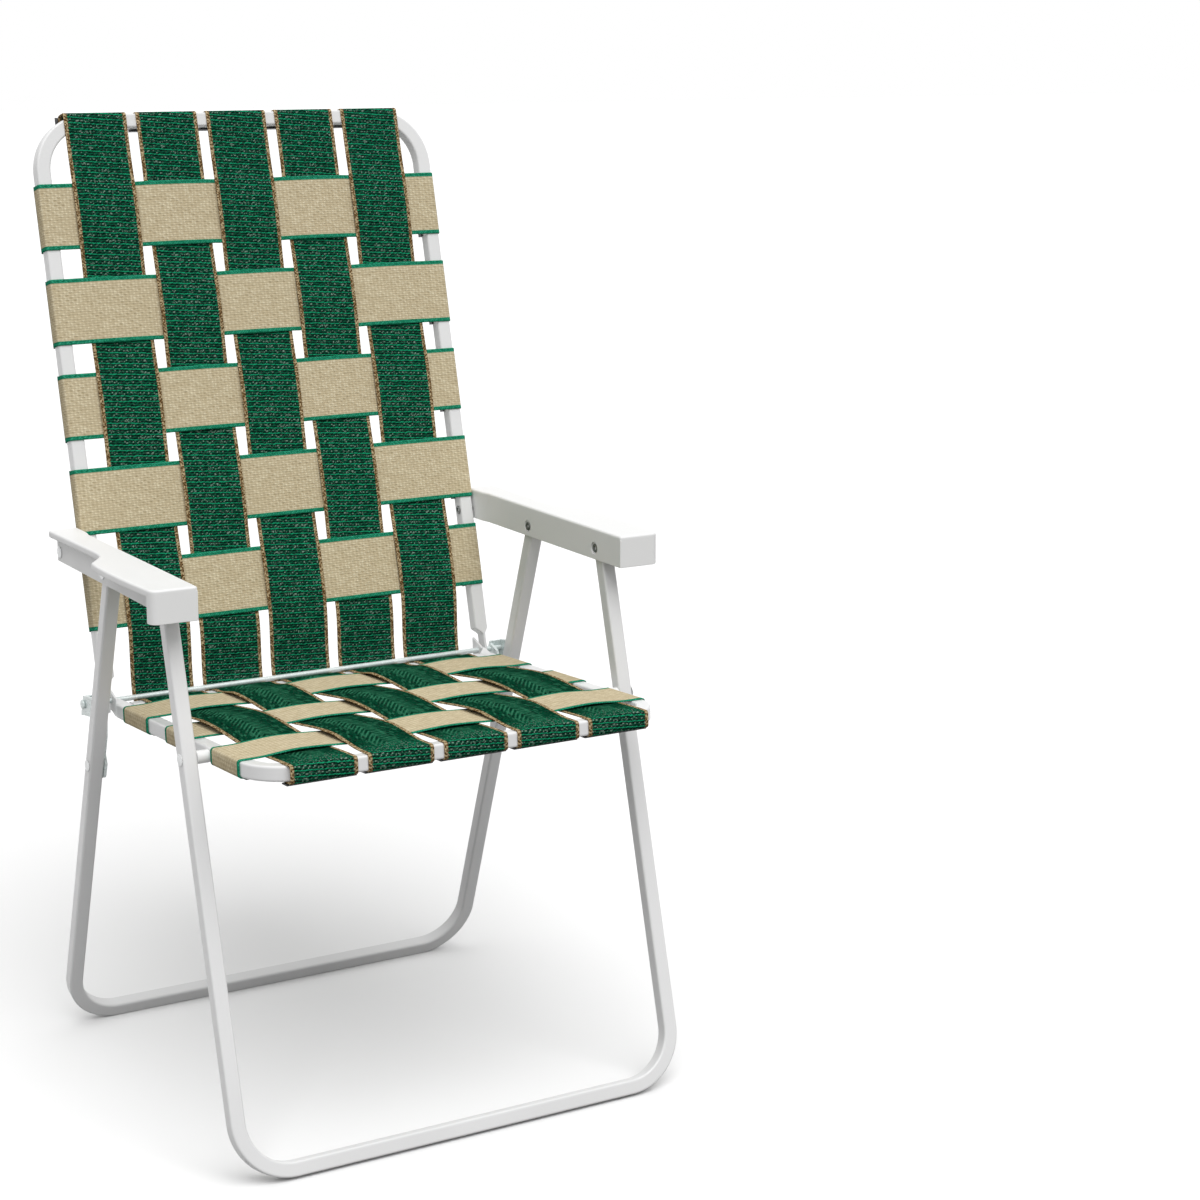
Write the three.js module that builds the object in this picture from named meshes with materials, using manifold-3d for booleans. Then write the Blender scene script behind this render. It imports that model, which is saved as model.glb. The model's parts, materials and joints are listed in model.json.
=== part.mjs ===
import * as THREE from 'three';
import { mergeVertices } from 'three/addons/utils/BufferGeometryUtils.js';
import Module from 'manifold-3d';

// Folding lawn chair with woven webbing: four bent frames of square steel tube, two moulded
// armrests, a hinge rod with two lock links, and flat straps held by clips.
// Millimetres, +Z up, the front of the chair faces -Y, +X is on the right seen from the front.

const wasm = await Module();
wasm.setup();

// Square steel tube
const tubeSize = 16;
const tubeWall = 1.2;
const tubeCorner = 2.4;
const bendSteps = 8;
const cornerSteps = 2;
const legBendRadius = 57;
const backBendRadius = 57;
const seatBendRadius = 50;

// Clearances
const gap = 0.3;
const cutOverrun = 5;

// Side view of the linkage: y to the rear, z up
const backPivotY = 155.5;
const backPivotZ = 576.5;
const rearPivotY = 23.5;
const rearPivotZ = 577;
const frontPivotY = -128;
const frontPivotZ = 578;
const hingeY = 114.5;
const hingeZ = 412.5;
const seatPivotY = -172.5;
const seatPivotZ = 422;
const linkPivotY = 105.5;
const linkPivotZ = 345;
const frontFootY = -283.1;
const rearFootY = 224.6;
const footZ = 9.2;

// Webbing
const strapWidth = 73;
const strapThickness = 1.2;
const strapSpacing = 11.2;
const strapSideRoom = 13.1;
const strapPitch = strapWidth + strapSpacing;
const strapColumns = [-2, -1, 0, 1, 2];
const backRivetRoom = 11.1;
const backRowDrop = 1.45;
const backTopRoom = 69.2;
const seatRearRoom = 11.5;
const seatPinRoom = 0.36;
const seatFrontRoom = 45.8;
const backCrown = 1.2;
const seatLongCrown = 5;
const seatCrossCrown = 2;
const strapTail = 14;
const strapEdgeShares = [-1, -0.5, 0, 0.5, 1];
const rodTurnShares = [-0.45, -0.66, -0.86, -1.04];
const rodWrapExtra = 0.6;
const seatStrapStart = 6;
const seatStrapStartDrop = 3.7;

// Widths: the seat carries the straps, the back swings outside it, then the links and the legs
const backOverSeat = 8;
const linkRoom = 3;
const linkPlate = 3;
const linkLegRoom = 0.5;
const seatHalfWidth = Math.max(...strapColumns) * strapPitch + strapWidth / 2 + strapSideRoom + tubeSize;
const backHalfWidth = seatHalfWidth + backOverSeat;
const linkInnerX = backHalfWidth + linkRoom;
const legInnerX = linkInnerX + linkPlate + linkLegRoom;
const legHalfWidth = legInnerX + tubeSize;
const linkOuterX = legHalfWidth - linkLegRoom;

// Frames
const legTopReach = 11;
const backLean = 0.251;
const backBehindHinge = 1.4;
const seatSlope = 0.062;
const seatBelowHinge = 7.8;
const seatCrossbarReach = 27.5;

// Flattened tube ends round the hinge rod
const tabThickness = 3;
const tabCorner = 1;
const tabSlit = 0.7;
const backTabDepth = 20;
const backTabTip = 13;
const backTabTipDepth = 12;
const backTabRoot = 17;
const backNeckTop = 26;
const backTabOffset = 2.5;
const seatTabHeight = 21;
const seatTabTip = 12.5;
const seatTabTipHeight = 15;
const seatTabRoot = 13;
const seatNeckFront = 23;
const seatTabOffset = 3.5;
const seatTabRaise = 2;
const seatTabTipRaise = 7;

// Hinge rod
const rodRadius = 3;
const rodKnobRadius = 5;
const rodKnobLength = 2.8;

// Rivets
const rivetShank = 3;
const rivetHeadRadius = 6.5;
const rivetHeadHeight = 2;
const rivetTailRadius = 5;
const rivetTailHeight = 1.2;
const rivetHollowRadius = 2;
const rivetHollowDepth = 4;
const rivetSides = 12;
const rivetEdgeShare = 0.25;
const rivetCrownShare = 0.125;
const seatRivetPlay = 2.2;
const seatRivetTailRadius = 6;
const spacerRadius = 6.8;

// Lock link
const linkBarHalf = 8.7;
const linkBelowPivot = 9;
const linkHeadHalf = 12;
const linkHeadFront = 2;
const linkBehindRod = 7.5;
const linkShoulder = 8;
const linkEyeRadius = 5;
const linkEyeHeight = 1.2;

// Strap clips
const clipThickness = 1.5;
const clipLip = 4;
const endClipOverhang = 3;
const sideClipOverhang = 0.7;
const clipStrapRoom = 0.6;
const clipBite = 0.1;

// Moulded armrests
const armAbovePivot = 22.5;
const armPlate = 8.4;
const armHeight = 35;
const armEdgeRound = 2.2;
const armAheadOfPivot = 56.5;
const armBehindPivot = 8.5;
const armInnerWall = 4;
const armInnerRearWall = 2;
const armBackRoom = 2.1;
const armStepRoom = 24.5;
const armStepLength = 11;
const armOuterWall = 3.5;
const armWall = 3;
const armRearOverhang = 9.5;
const armWaistOverhang = 6.5;
const armWaistBehindPivot = 6.5;
const armShoulderLength = 54;
const armShoulderOverhang = 28.5;
const armPadOverhang = 30.8;
const armPadLength = 36;
const armFrontOverhang = 26;
const armFrontCorner = 9;
const armReturn = 13;
const armPocketRadius = 7;
const armPocketWall = 1.3;
const armChannelRoom = 7.5;
const armCurveSteps = 5;
const armTop = frontPivotZ + armAbovePivot;
const armFrontY = frontPivotY - armAheadOfPivot;
const armRearY = backPivotY + armBehindPivot;
const armInnerFrontX = legInnerX - armInnerWall;
const armInnerRearX = legInnerX - armInnerRearWall;
const armBackX = backHalfWidth + armBackRoom;
const armStepRearY = backPivotY - armStepRoom;
const armStepFrontY = armStepRearY - armStepLength;
const armWallX = legHalfWidth + armOuterWall;
const armRearOuterX = armWallX + armRearOverhang;
const armWaistOuterX = armWallX + armWaistOverhang;
const armWaistY = rearPivotY + armWaistBehindPivot;
const armShoulderY = armWaistY - armShoulderLength;
const armShoulderX = armWallX + armShoulderOverhang;
const armPadWidestX = armWallX + armPadOverhang;
const armPadWidestY = armShoulderY - armPadLength;
const armFrontOuterX = armWallX + armFrontOverhang;
const armPocketFloorX = legInnerX - armPocketWall;
const armChannelRearY = backPivotY - armChannelRoom;

// Rows of straps, from the hinge rod: the back's lowest two pass either side of the armrest
// rivet, and the seat's front one lies just ahead of the front leg's pin
const backAngle = Math.atan(backLean);
const seatAngle = Math.atan(seatSlope);
const backPinUp = (backPivotY - hingeY) * Math.sin(backAngle)
  + (backPivotZ - hingeZ) * Math.cos(backAngle);
const seatPinAhead = (hingeY - seatPivotY) * Math.cos(seatAngle)
  + (seatPivotZ - hingeZ) * Math.sin(seatAngle);
const backRowOrder = [4, 3, 2, 1, 0];
const seatRowOrder = [0, 1, 2];
const backRowPitch = strapWidth + 2 * (rivetTailRadius + backRivetRoom);
const backRowFirst = backPinUp - backRowPitch / 2 - backRowDrop;
const backRows = backRowOrder.map((row) => backRowFirst + row * backRowPitch);
const seatRowFirst = seatCrossbarReach + tubeSize / 2 + seatRearRoom + strapWidth / 2;
const seatRowLast = seatPinAhead + spacerRadius + seatPinRoom + strapWidth / 2;
const seatRowPitch = (seatRowLast - seatRowFirst) / (seatRowOrder.length - 1);
const seatRows = seatRowOrder.map((row) => seatRowFirst + row * seatRowPitch);
const backLength = Math.max(...backRows) + strapWidth / 2 + backTopRoom;
const seatLength = seatRowLast + strapWidth / 2 + seatFrontRoom;

// Finishes
const frameFinish = { color: 0xe9eaec, roughness: 0.35, metalness: 0.1 };
const armFinish = { color: 0xf2f3f4, roughness: 0.5, metalness: 0 };
const zincFinish = { color: 0xb9c3bf, roughness: 0.35, metalness: 0.9 };
const rivetFinish = { color: 0xdfe2e3, roughness: 0.35, metalness: 0.5 };
const greenFinish = { color: 0x0b5a3c, roughness: 0.75, metalness: 0 };
const tanFinish = { color: 0xc9b68c, roughness: 0.8, metalness: 0 };
const clipFinish = { color: 0x17191a, roughness: 0.45, metalness: 0 };
const spacerFinish = { color: 0xf4f5f5, roughness: 0.5, metalness: 0 };

const half = tubeSize / 2;

// Solid helpers

function toSolid(geometry) {
  const bare = geometry.clone();
  bare.deleteAttribute('normal');
  bare.deleteAttribute('uv');
  const merged = mergeVertices(bare);
  return new wasm.Manifold(new wasm.Mesh({
    numProp: 3,
    vertProperties: Float32Array.from(merged.attributes.position.array),
    triVerts: Uint32Array.from(merged.index.array),
  }));
}

function toGeometry(solid) {
  const mesh = solid.getMesh();
  const positions = new Float32Array(mesh.numVert * 3);
  for (let i = 0; i < mesh.numVert; i += 1) {
    for (let k = 0; k < 3; k += 1) positions[3 * i + k] = mesh.vertProperties[mesh.numProp * i + k];
  }
  const geometry = new THREE.BufferGeometry();
  geometry.setAttribute('position', new THREE.BufferAttribute(positions, 3));
  geometry.setIndex(Array.from(mesh.triVerts));
  return geometry;
}

function cut(geometry, ...tools) {
  return toGeometry(tools.reduce((solid, tool) => solid.subtract(toSolid(tool)), toSolid(geometry)));
}

function join(first, ...others) {
  return toGeometry(others.reduce((solid, other) => solid.add(toSolid(other)), toSolid(first)));
}

// A copy moved by a matrix, with its faces turned over where the matrix mirrors it
function transformed(geometry, matrix) {
  const copy = geometry.clone();
  copy.applyMatrix4(matrix);
  if (matrix.determinant() > 0) return copy;
  const corners = copy.index ? Array.from(copy.index.array)
    : Array.from({ length: copy.attributes.position.count }, (_, i) => i);
  const turned = corners.map((_, i) => corners[i % 3 === 0 ? i : i % 3 === 1 ? i + 1 : i - 1]);
  copy.setIndex(turned);
  return copy;
}

const mirrored = (geometry) => transformed(geometry, new THREE.Matrix4().makeScale(-1, 1, 1));

function makeMesh(name, geometry, finish) {
  const shown = geometry.index ? geometry.toNonIndexed() : geometry;
  shown.computeVertexNormals();
  const mesh = new THREE.Mesh(shown, new THREE.MeshStandardMaterial(finish));
  mesh.name = name;
  return mesh;
}

// A round bar along X between two stations, used for bores and plain pins
function barAlongX(radius, fromX, toX, y, z) {
  const bar = new THREE.CylinderGeometry(radius, radius, toX - fromX, rivetSides);
  bar.rotateZ(Math.PI / 2);
  bar.translate((fromX + toX) / 2, y, z);
  return bar;
}

// A group whose origin is a pivot and whose own axes are turned about X
function hingedGroup(y, z, angle) {
  const group = new THREE.Group();
  group.position.set(0, y, z);
  group.rotation.x = angle;
  return group;
}

// Where a point of the side view lies in such a group
function inGroup(group, y, z) {
  const dy = y - group.position.y;
  const dz = z - group.position.z;
  const c = Math.cos(group.rotation.x);
  const s = Math.sin(group.rotation.x);
  return { y: dy * c + dz * s, z: dz * c - dy * s };
}

// Bent square tube

// One cross-section: a rounded rectangle with a plain rectangular bore
function tubeSection(width, depth, corner, shiftWidth, shiftDepth, boreWidth) {
  const outer = [];
  for (let quarter = 0; quarter < 4; quarter += 1) {
    const cx = (quarter === 0 || quarter === 3 ? 1 : -1) * (width / 2 - corner);
    const cy = (quarter < 2 ? 1 : -1) * (depth / 2 - corner);
    for (let step = 0; step <= cornerSteps; step += 1) {
      const angle = (quarter + step / cornerSteps) * Math.PI / 2;
      outer.push(new THREE.Vector2(
        shiftWidth + cx + corner * Math.cos(angle), shiftDepth + cy + corner * Math.sin(angle)));
    }
  }
  const bw = boreWidth / 2;
  const bd = depth / 2 - tubeWall;
  const signs = [[1, 1], [-1, 1], [-1, -1], [1, -1]];
  const bore = signs.map(([a, b]) => new THREE.Vector2(shiftWidth + a * bw, shiftDepth + b * bd));
  return { outer, bore };
}

const squareSection = () => tubeSection(tubeSize, tubeSize, tubeCorner, 0, 0, tubeSize - 2 * tubeWall);

const flatSection = (depth, shiftWidth, shiftDepth) =>
  tubeSection(tabThickness, depth, tabCorner, shiftWidth, shiftDepth, tabSlit);

// Stations of a U in its own plane: u across, v away from the open ends
function uStations(halfWidth, length, radius, ends) {
  const span = halfWidth - half;
  const stations = ends.map(({ v, section }) => ({ u: -span, v, nu: -1, nv: 0, section }));
  for (const side of [-1, 1]) {
    for (let step = 0; step <= bendSteps; step += 1) {
      const share = side < 0 ? step / bendSteps : 1 - step / bendSteps;
      const angle = Math.PI / 2 * share;
      const nu = side * Math.cos(angle);
      const nv = Math.sin(angle);
      stations.push({
        u: side * (span - radius) + radius * nu, v: length - radius + radius * nv,
        nu, nv, section: squareSection(),
      });
    }
  }
  const rightEnds = ends.map(({ v, section }) => ({ u: span, v, nu: 1, nv: 0, section })).reverse();
  return stations.concat(rightEnds);
}

// Loft through the stations; place() puts (u, v, w) into the frame's own axes
function loftTube(stations, place) {
  const positions = [];
  const faces = [];
  const outerCount = stations[0].section.outer.length;
  const boreCount = stations[0].section.bore.length;
  const ringSize = outerCount + boreCount;
  for (const { u, v, nu, nv, section } of stations) {
    for (const point of [...section.outer, ...section.bore]) {
      positions.push(...place(u + nu * point.x, v + nv * point.x, point.y));
    }
  }
  const band = (start, count, inward) => {
    for (let ring = 0; ring + 1 < stations.length; ring += 1) {
      for (let i = 0; i < count; i += 1) {
        const a = ring * ringSize + start + i;
        const b = ring * ringSize + start + (i + 1) % count;
        if (inward) faces.push([a, a + ringSize, b], [b, a + ringSize, b + ringSize]);
        else faces.push([a, b, a + ringSize], [b, b + ringSize, a + ringSize]);
      }
    }
  };
  band(0, outerCount, false);
  band(outerCount, boreCount, true);
  for (const last of [false, true]) {
    const { outer, bore } = stations[last ? stations.length - 1 : 0].section;
    const flat = [...outer, ...bore];
    const start = last ? (stations.length - 1) * ringSize : 0;
    for (const [a, b, c] of THREE.ShapeUtils.triangulateShape(outer, [bore])) {
      const area = THREE.ShapeUtils.area([flat[a], flat[b], flat[c]]);
      const anticlockwise = area > 0;
      if (anticlockwise === last) faces.push([start + a, start + b, start + c]);
      else faces.push([start + a, start + c, start + b]);
    }
  }
  return closedGeometry(positions, faces);
}

// A closed body from points and faces, turned so that its faces point out
function closedGeometry(positions, faces) {
  let volume = 0;
  const at = (i) => new THREE.Vector3().fromArray(positions, 3 * i);
  for (const [a, b, c] of faces) volume += at(a).dot(at(b).cross(at(c)));
  const index = faces.flatMap(([a, b, c]) => (volume > 0 ? [a, b, c] : [a, c, b]));
  const geometry = new THREE.BufferGeometry();
  geometry.setAttribute('position', new THREE.Float32BufferAttribute(positions, 3));
  geometry.setIndex(index);
  return geometry;
}

// Leg frames: a U of tube hanging from its two pivots, with a straight crossbar on the floor

function legFrame(name, group, footY, pinY, pinZ) {
  const length = Math.hypot(footY - group.position.y, footZ - group.position.z);
  const ends = [{ v: -legTopReach, section: squareSection() }];
  const stations = uStations(legHalfWidth, length, legBendRadius, ends);
  const tube = loftTube(stations, (u, v, w) => [u, w, -v]);
  const bore = rivetShank + gap;
  const reach = legHalfWidth + cutOverrun;
  const pin = inGroup(group, pinY, pinZ);
  const geometry = cut(tube,
    barAlongX(bore, -reach, reach, 0, 0), barAlongX(bore, -reach, reach, pin.y, pin.z));
  group.add(makeMesh(name, geometry, frameFinish));
}

// Back frame: an upright U whose lower ends are flattened into tabs on the hinge rod

function backFrame(group) {
  const tip = flatSection(backTabTipDepth, backTabOffset, 0);
  const tab = flatSection(backTabDepth, backTabOffset, 0);
  const ends = [
    { v: -backTabTip, section: tip },
    { v: -backTabTip + (backTabDepth - backTabTipDepth) / 2, section: tab },
    { v: backTabRoot, section: tab },
    { v: backNeckTop, section: squareSection() },
  ];
  const stations = uStations(backHalfWidth, backLength, backBendRadius, ends);
  const tube = loftTube(stations, (u, v, w) => [u, w + backBehindHinge, v]);
  const arm = inGroup(group, backPivotY, backPivotZ);
  const reach = backHalfWidth + cutOverrun;
  return cut(tube, barAlongX(rodRadius + gap, -reach, reach, 0, 0),
    barAlongX(rivetShank + gap, -reach, reach, arm.y, arm.z));
}

// Seat frame: a level U open to the rear, flattened at its ends, and its rear crossbar

function seatFrame(group) {
  const tip = flatSection(seatTabTipHeight, seatTabOffset, seatTabTipRaise);
  const tab = flatSection(seatTabHeight, seatTabOffset, seatTabRaise);
  const ends = [
    { v: -seatTabTip, section: tip },
    { v: -seatTabTip / 2, section: flatSection(seatTabHeight, seatTabOffset, seatTabTipRaise) },
    { v: seatTabRoot, section: tab },
    { v: seatNeckFront, section: squareSection() },
  ];
  const stations = uStations(seatHalfWidth, seatLength, seatBendRadius, ends);
  const tube = loftTube(stations, (u, v, w) => [u, -v, w - seatBelowHinge]);
  const pin = inGroup(group, seatPivotY, seatPivotZ);
  const reach = seatHalfWidth + cutOverrun;
  return cut(tube, barAlongX(rodRadius + gap, -reach, reach, 0, 0),
    barAlongX(rivetShank + seatRivetPlay, -reach, reach, pin.y, pin.z));
}

function seatCrossbar() {
  const reach = seatHalfWidth - tubeSize - gap;
  const stations = [-reach, reach].map((u) => (
    { u, v: seatCrossbarReach, nu: 0, nv: 1, section: squareSection() }));
  return loftTube(stations, (u, v, w) => [u, -v, w - seatBelowHinge]);
}

// Hinge rod: a plain bar with a flattened knob at each end

function hingeRod() {
  const seat = linkOuterX + gap;
  const profile = [
    [0, -seat - rodKnobLength], [rodKnobRadius - rodKnobLength / 2, -seat - rodKnobLength],
    [rodKnobRadius, -seat - rodKnobLength / 2], [rodKnobRadius, -seat], [rodRadius, -seat],
    [rodRadius, seat], [rodKnobRadius, seat], [rodKnobRadius, seat + rodKnobLength / 2],
    [rodKnobRadius - rodKnobLength / 2, seat + rodKnobLength], [0, seat + rodKnobLength],
  ];
  const rod = new THREE.LatheGeometry(profile.map(([r, x]) => new THREE.Vector2(r, x)), rivetSides);
  rod.rotateZ(-Math.PI / 2);
  return rod;
}

// Domed rivet along X: head outside at headX, formed tail inside at tailX
function rivet(headX, tailX, tailRadius) {
  const end = tailX - (tailRadius > rivetShank ? rivetTailHeight : 0);
  const dome = headX + rivetHeadHeight;
  const profile = [
    [0, end + rivetHollowDepth], [rivetHollowRadius, end + rivetHollowDepth],
    [rivetHollowRadius, end], [tailRadius, end],
  ];
  if (tailRadius > rivetShank) profile.push([tailRadius, tailX], [rivetShank, tailX]);
  profile.push([rivetShank, headX], [rivetHeadRadius, headX],
    [rivetHeadRadius - rivetHeadHeight * rivetEdgeShare, headX + rivetHeadHeight / 2],
    [rivetHeadRadius / 2, dome - rivetHeadHeight * rivetCrownShare], [0, dome]);
  const body = new THREE.LatheGeometry(profile.map(([r, x]) => new THREE.Vector2(r, x)), rivetSides);
  body.rotateZ(-Math.PI / 2);
  return body;
}

// A left and a right copy of one piece at a place of its group
function addPair(group, name, rightGeometry, finish, y, z) {
  for (const [side, geometry] of [['right', rightGeometry], ['left', mirrored(rightGeometry)]]) {
    const mesh = makeMesh(`${name}_${side}`, geometry, finish);
    mesh.position.set(0, y, z);
    group.add(mesh);
  }
}

// White spacer ring between the seat rail and the front leg
function seatSpacer() {
  const inner = seatHalfWidth + gap;
  const outer = legInnerX - gap;
  const bore = rivetShank + gap;
  const profile = [
    [bore, inner], [spacerRadius, inner], [spacerRadius, outer], [bore, outer], [bore, inner]];
  const ring = new THREE.LatheGeometry(profile.map(([r, x]) => new THREE.Vector2(r, x)), rivetSides);
  ring.rotateZ(-Math.PI / 2);
  return ring;
}

// An outline in the side view (y, z) made into a plate between two X planes
function sidePlate(shape, fromX, toX) {
  const plate = new THREE.ExtrudeGeometry(shape, { depth: toX - fromX, bevelEnabled: false });
  plate.applyMatrix4(new THREE.Matrix4().makeBasis(
    new THREE.Vector3(0, 1, 0), new THREE.Vector3(0, 0, 1), new THREE.Vector3(1, 0, 0)));
  plate.translate(fromX, 0, 0);
  return plate;
}

const polygon = (points) => new THREE.Shape(points.map(([a, b]) => new THREE.Vector2(a, b)));

// Lock link: a cheek on the leg's inner face, a web behind the leg and an ear outside, all bent
// from one plate. Its group's origin is the leg pivot and its own -Z runs down the leg.
function lockLink(rod) {
  const headBottom = rod.z - linkHeadHalf;
  const headTop = rod.z + linkHeadHalf;
  const headRear = rod.y + linkBehindRod;
  const webFront = half + gap;
  const cheek = polygon([
    [-linkBarHalf, -linkBelowPivot], [-linkBarHalf, headBottom - linkShoulder],
    [linkHeadFront, headTop], [headRear, headTop], [headRear, headBottom],
    [linkBarHalf + linkShoulder, headBottom], [linkBarHalf, headBottom - linkShoulder],
    [linkBarHalf, -linkBelowPivot],
  ].reverse());
  const roundEnd = barAlongX(linkBarHalf, linkInnerX, linkInnerX + linkPlate, 0, -linkBelowPivot);
  const web = sidePlate(polygon([
    [webFront, headBottom], [webFront + linkPlate, headBottom],
    [webFront + linkPlate, headTop], [webFront, headTop]]), linkInnerX, linkOuterX);
  const ear = sidePlate(polygon([
    [webFront, headBottom], [headRear, headBottom], [headRear, headTop], [webFront, headTop],
  ]), linkOuterX - linkPlate, linkOuterX);
  const eye = barAlongX(linkEyeRadius, linkInnerX - linkEyeHeight, linkInnerX + linkPlate / 2, 0, 0);
  const body = join(sidePlate(cheek, linkInnerX, linkInnerX + linkPlate), roundEnd, web, ear, eye);
  return cut(body, barAlongX(rodRadius + gap, 0, linkOuterX + cutOverrun, rod.y, rod.z));
}

// Webbing: a ribbon along a path (s, h), s along the strap and h above the tubes' centre plane

const strapLow = half + gap + strapThickness / 2;
const strapHigh = strapLow + strapThickness + gap;

// Round the outer edge of a tube, from the tail on its far side to its near side
function wrapPoints(edge) {
  const radius = tubeCorner + gap + strapThickness / 2;
  const points = [[edge - strapTail, -strapLow]];
  for (const side of [-1, 1]) {
    for (let step = 0; step <= cornerSteps; step += 1) {
      const turned = step / cornerSteps;
      const angle = Math.PI / 2 * (side < 0 ? turned - 1 : turned);
      points.push([
        edge - tubeCorner + radius * Math.cos(angle),
        side * (half - tubeCorner) + radius * Math.sin(angle)]);
    }
  }
  return points;
}

// Over and under the crossing straps: low beneath them, arched where it lies on top
function wovenPoints(centres, isOver, crown) {
  const points = [];
  centres.forEach((centre, i) => {
    for (const share of strapEdgeShares) {
      const arch = crown * (1 - share * share);
      points.push([centre + share * strapWidth / 2, isOver(i) ? strapHigh + arch : strapLow]);
    }
  });
  return points;
}

// The ribbon's outline, half a thickness to each side of its path
function ribbonShape(path) {
  const near = [];
  const far = [];
  path.forEach(([s, h], i) => {
    const [s0, h0] = path[Math.max(i - 1, 0)];
    const [s1, h1] = path[Math.min(i + 1, path.length - 1)];
    const length = Math.hypot(s1 - s0, h1 - h0);
    const ns = -(h1 - h0) / length * strapThickness / 2;
    const nh = (s1 - s0) / length * strapThickness / 2;
    near.push(new THREE.Vector2(s + ns, h + nh));
    far.push(new THREE.Vector2(s - ns, h - nh));
  });
  return new THREE.Shape([...near, ...far.reverse()]);
}

// A ribbon extruded to the strap's width, with its s, h and width directions given as axes
function strapSolid(path, sAxis, hAxis, origin) {
  const ribbon = new THREE.ExtrudeGeometry(ribbonShape(path), { depth: strapWidth, bevelEnabled: false });
  ribbon.translate(0, 0, -strapWidth / 2);
  const widthAxis = new THREE.Vector3().crossVectors(sAxis, hAxis);
  ribbon.applyMatrix4(new THREE.Matrix4().makeBasis(sAxis, hAxis, widthAxis));
  ribbon.translate(origin.x, origin.y, origin.z);
  return ribbon;
}

const axis = (x, y, z) => new THREE.Vector3(x, y, z);
const columnCentres = strapColumns.map((column) => column * strapPitch);

// Seen from the sitter's side, green straps lie on top in odd columns of odd back rows
const greenOverBack = (column, row) => (column + row) % 2 === 0;
const greenOverSeat = (column, row) => (column + row) % 2 !== 0;

function crossPath(frameHalf, isOver, crown) {
  const right = wrapPoints(frameHalf);
  const inner = [frameHalf - tubeSize, strapLow];
  const left = right.map(([s, h]) => [-s, h]);
  return [...left, [-inner[0], inner[1]], ...wovenPoints(columnCentres, isOver, crown),
    inner, ...right.slice().reverse()];
}

// A back strap runs down the front, behind the hinge rod and ends beneath it
function backLongPath(column) {
  const top = wrapPoints(backLength + half);
  const rows = backRows.slice();
  const woven = wovenPoints(rows, (row) => greenOverBack(column, row), backCrown);
  woven.sort((a, b) => b[0] - a[0]);
  const wrap = rodRadius + gap + rodWrapExtra + strapThickness / 2;
  const roundRod = rodTurnShares.map((share) => [
    wrap * Math.cos(Math.PI * share), backBehindHinge + wrap * Math.sin(Math.PI * share)]);
  return [...top, [backLength - half, strapLow], ...woven, ...roundRod];
}

// A seat strap rises over the rear crossbar and wraps the front tube
function seatLongPath(column) {
  const start = [seatStrapStart, seatBelowHinge - seatStrapStartDrop];
  const onBar = [seatCrossbarReach - half + tubeCorner, strapLow];
  const offBar = [seatCrossbarReach + half, strapLow];
  const woven = wovenPoints(seatRows, (row) => greenOverSeat(column, row), seatLongCrown);
  const front = wrapPoints(seatLength + half).reverse();
  return [start, onBar, offBar, ...woven, [seatLength - half, strapLow], ...front];
}

function addStraps(backGroup, seatGroup) {
  const across = axis(1, 0, 0);
  backRows.forEach((v, row) => {
    const path = crossPath(backHalfWidth, (column) => !greenOverBack(column, row), backCrown);
    const solid = strapSolid(path, across, axis(0, -1, 0), axis(0, backBehindHinge, v));
    backGroup.add(makeMesh(`back_cross_strap_${row + 1}`, solid, tanFinish));
  });
  seatRows.forEach((v, row) => {
    const path = crossPath(seatHalfWidth, (column) => !greenOverSeat(column, row), seatCrossCrown);
    const strap = strapSolid(path, across, axis(0, 0, 1), axis(0, -v, -seatBelowHinge));
    const clips = [-1, 1].map((sign) => sideClip(sign, strapThickness + gap - clipBite, axis(0, 1, 0),
      axis(0, 0, -1), axis(sign * (seatHalfWidth - half), -v, -seatBelowHinge),
      seatLength - seatBendRadius - v));
    seatGroup.add(makeMesh(`seat_cross_strap_${row + 1}`, join(strap, ...clips), tanFinish));
  });
  columnCentres.forEach((x, column) => {
    const onBack = axis(x, backBehindHinge, 0);
    const onSeat = axis(x, 0, -seatBelowHinge);
    const down = strapSolid(backLongPath(column), axis(0, 0, 1), axis(0, -1, 0), onBack);
    const ahead = strapSolid(seatLongPath(column), axis(0, -1, 0), axis(0, 0, 1), onSeat);
    backGroup.add(makeMesh(`back_long_strap_${column + 1}`, down, greenFinish));
    seatGroup.add(makeMesh(`seat_long_strap_${column + 1}`, ahead, greenFinish));
  });
}

// Clip: an angle whose plate presses a strap's tail on the far side of a tube and whose lip
// hooks round the tube's inner edge
function clipSolid(plateSpan, lipSpan, room, axes, origin) {
  const { alongAxis, innerAxis, outAxis } = axes;
  const back = half + room;
  const hook = half + gap;
  const block = ([from, to], a0, a1, b0, b1) => {
    const shape = polygon([[a0, b0], [a1, b0], [a1, b1], [a0, b1]]);
    const piece = new THREE.ExtrudeGeometry(shape, { depth: to - from, bevelEnabled: false });
    piece.translate(0, 0, from);
    return piece;
  };
  const plate = block(plateSpan, -half, hook + clipThickness, back, back + clipThickness);
  const lip = block(lipSpan, hook, hook + clipThickness, half - clipLip, back + clipThickness);
  const turn = new THREE.Matrix4().makeBasis(innerAxis, outAxis, alongAxis);
  const placed = transformed(join(plate, lip), turn);
  placed.translate(origin.x, origin.y, origin.z);
  return placed;
}

const clipRoom = strapThickness + gap + clipStrapRoom;

// A lip stops where the straight tube starts to bend; the plate behind it runs on
function endClip(x, straightHalf, room, innerAxis, outAxis, origin) {
  const clipHalf = strapWidth / 2 + endClipOverhang;
  const lip = [Math.max(x - clipHalf, -straightHalf), Math.min(x + clipHalf, straightHalf)];
  const axes = { alongAxis: axis(1, 0, 0), innerAxis, outAxis };
  return clipSolid([x - clipHalf, x + clipHalf], lip, room, axes, origin);
}

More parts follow.
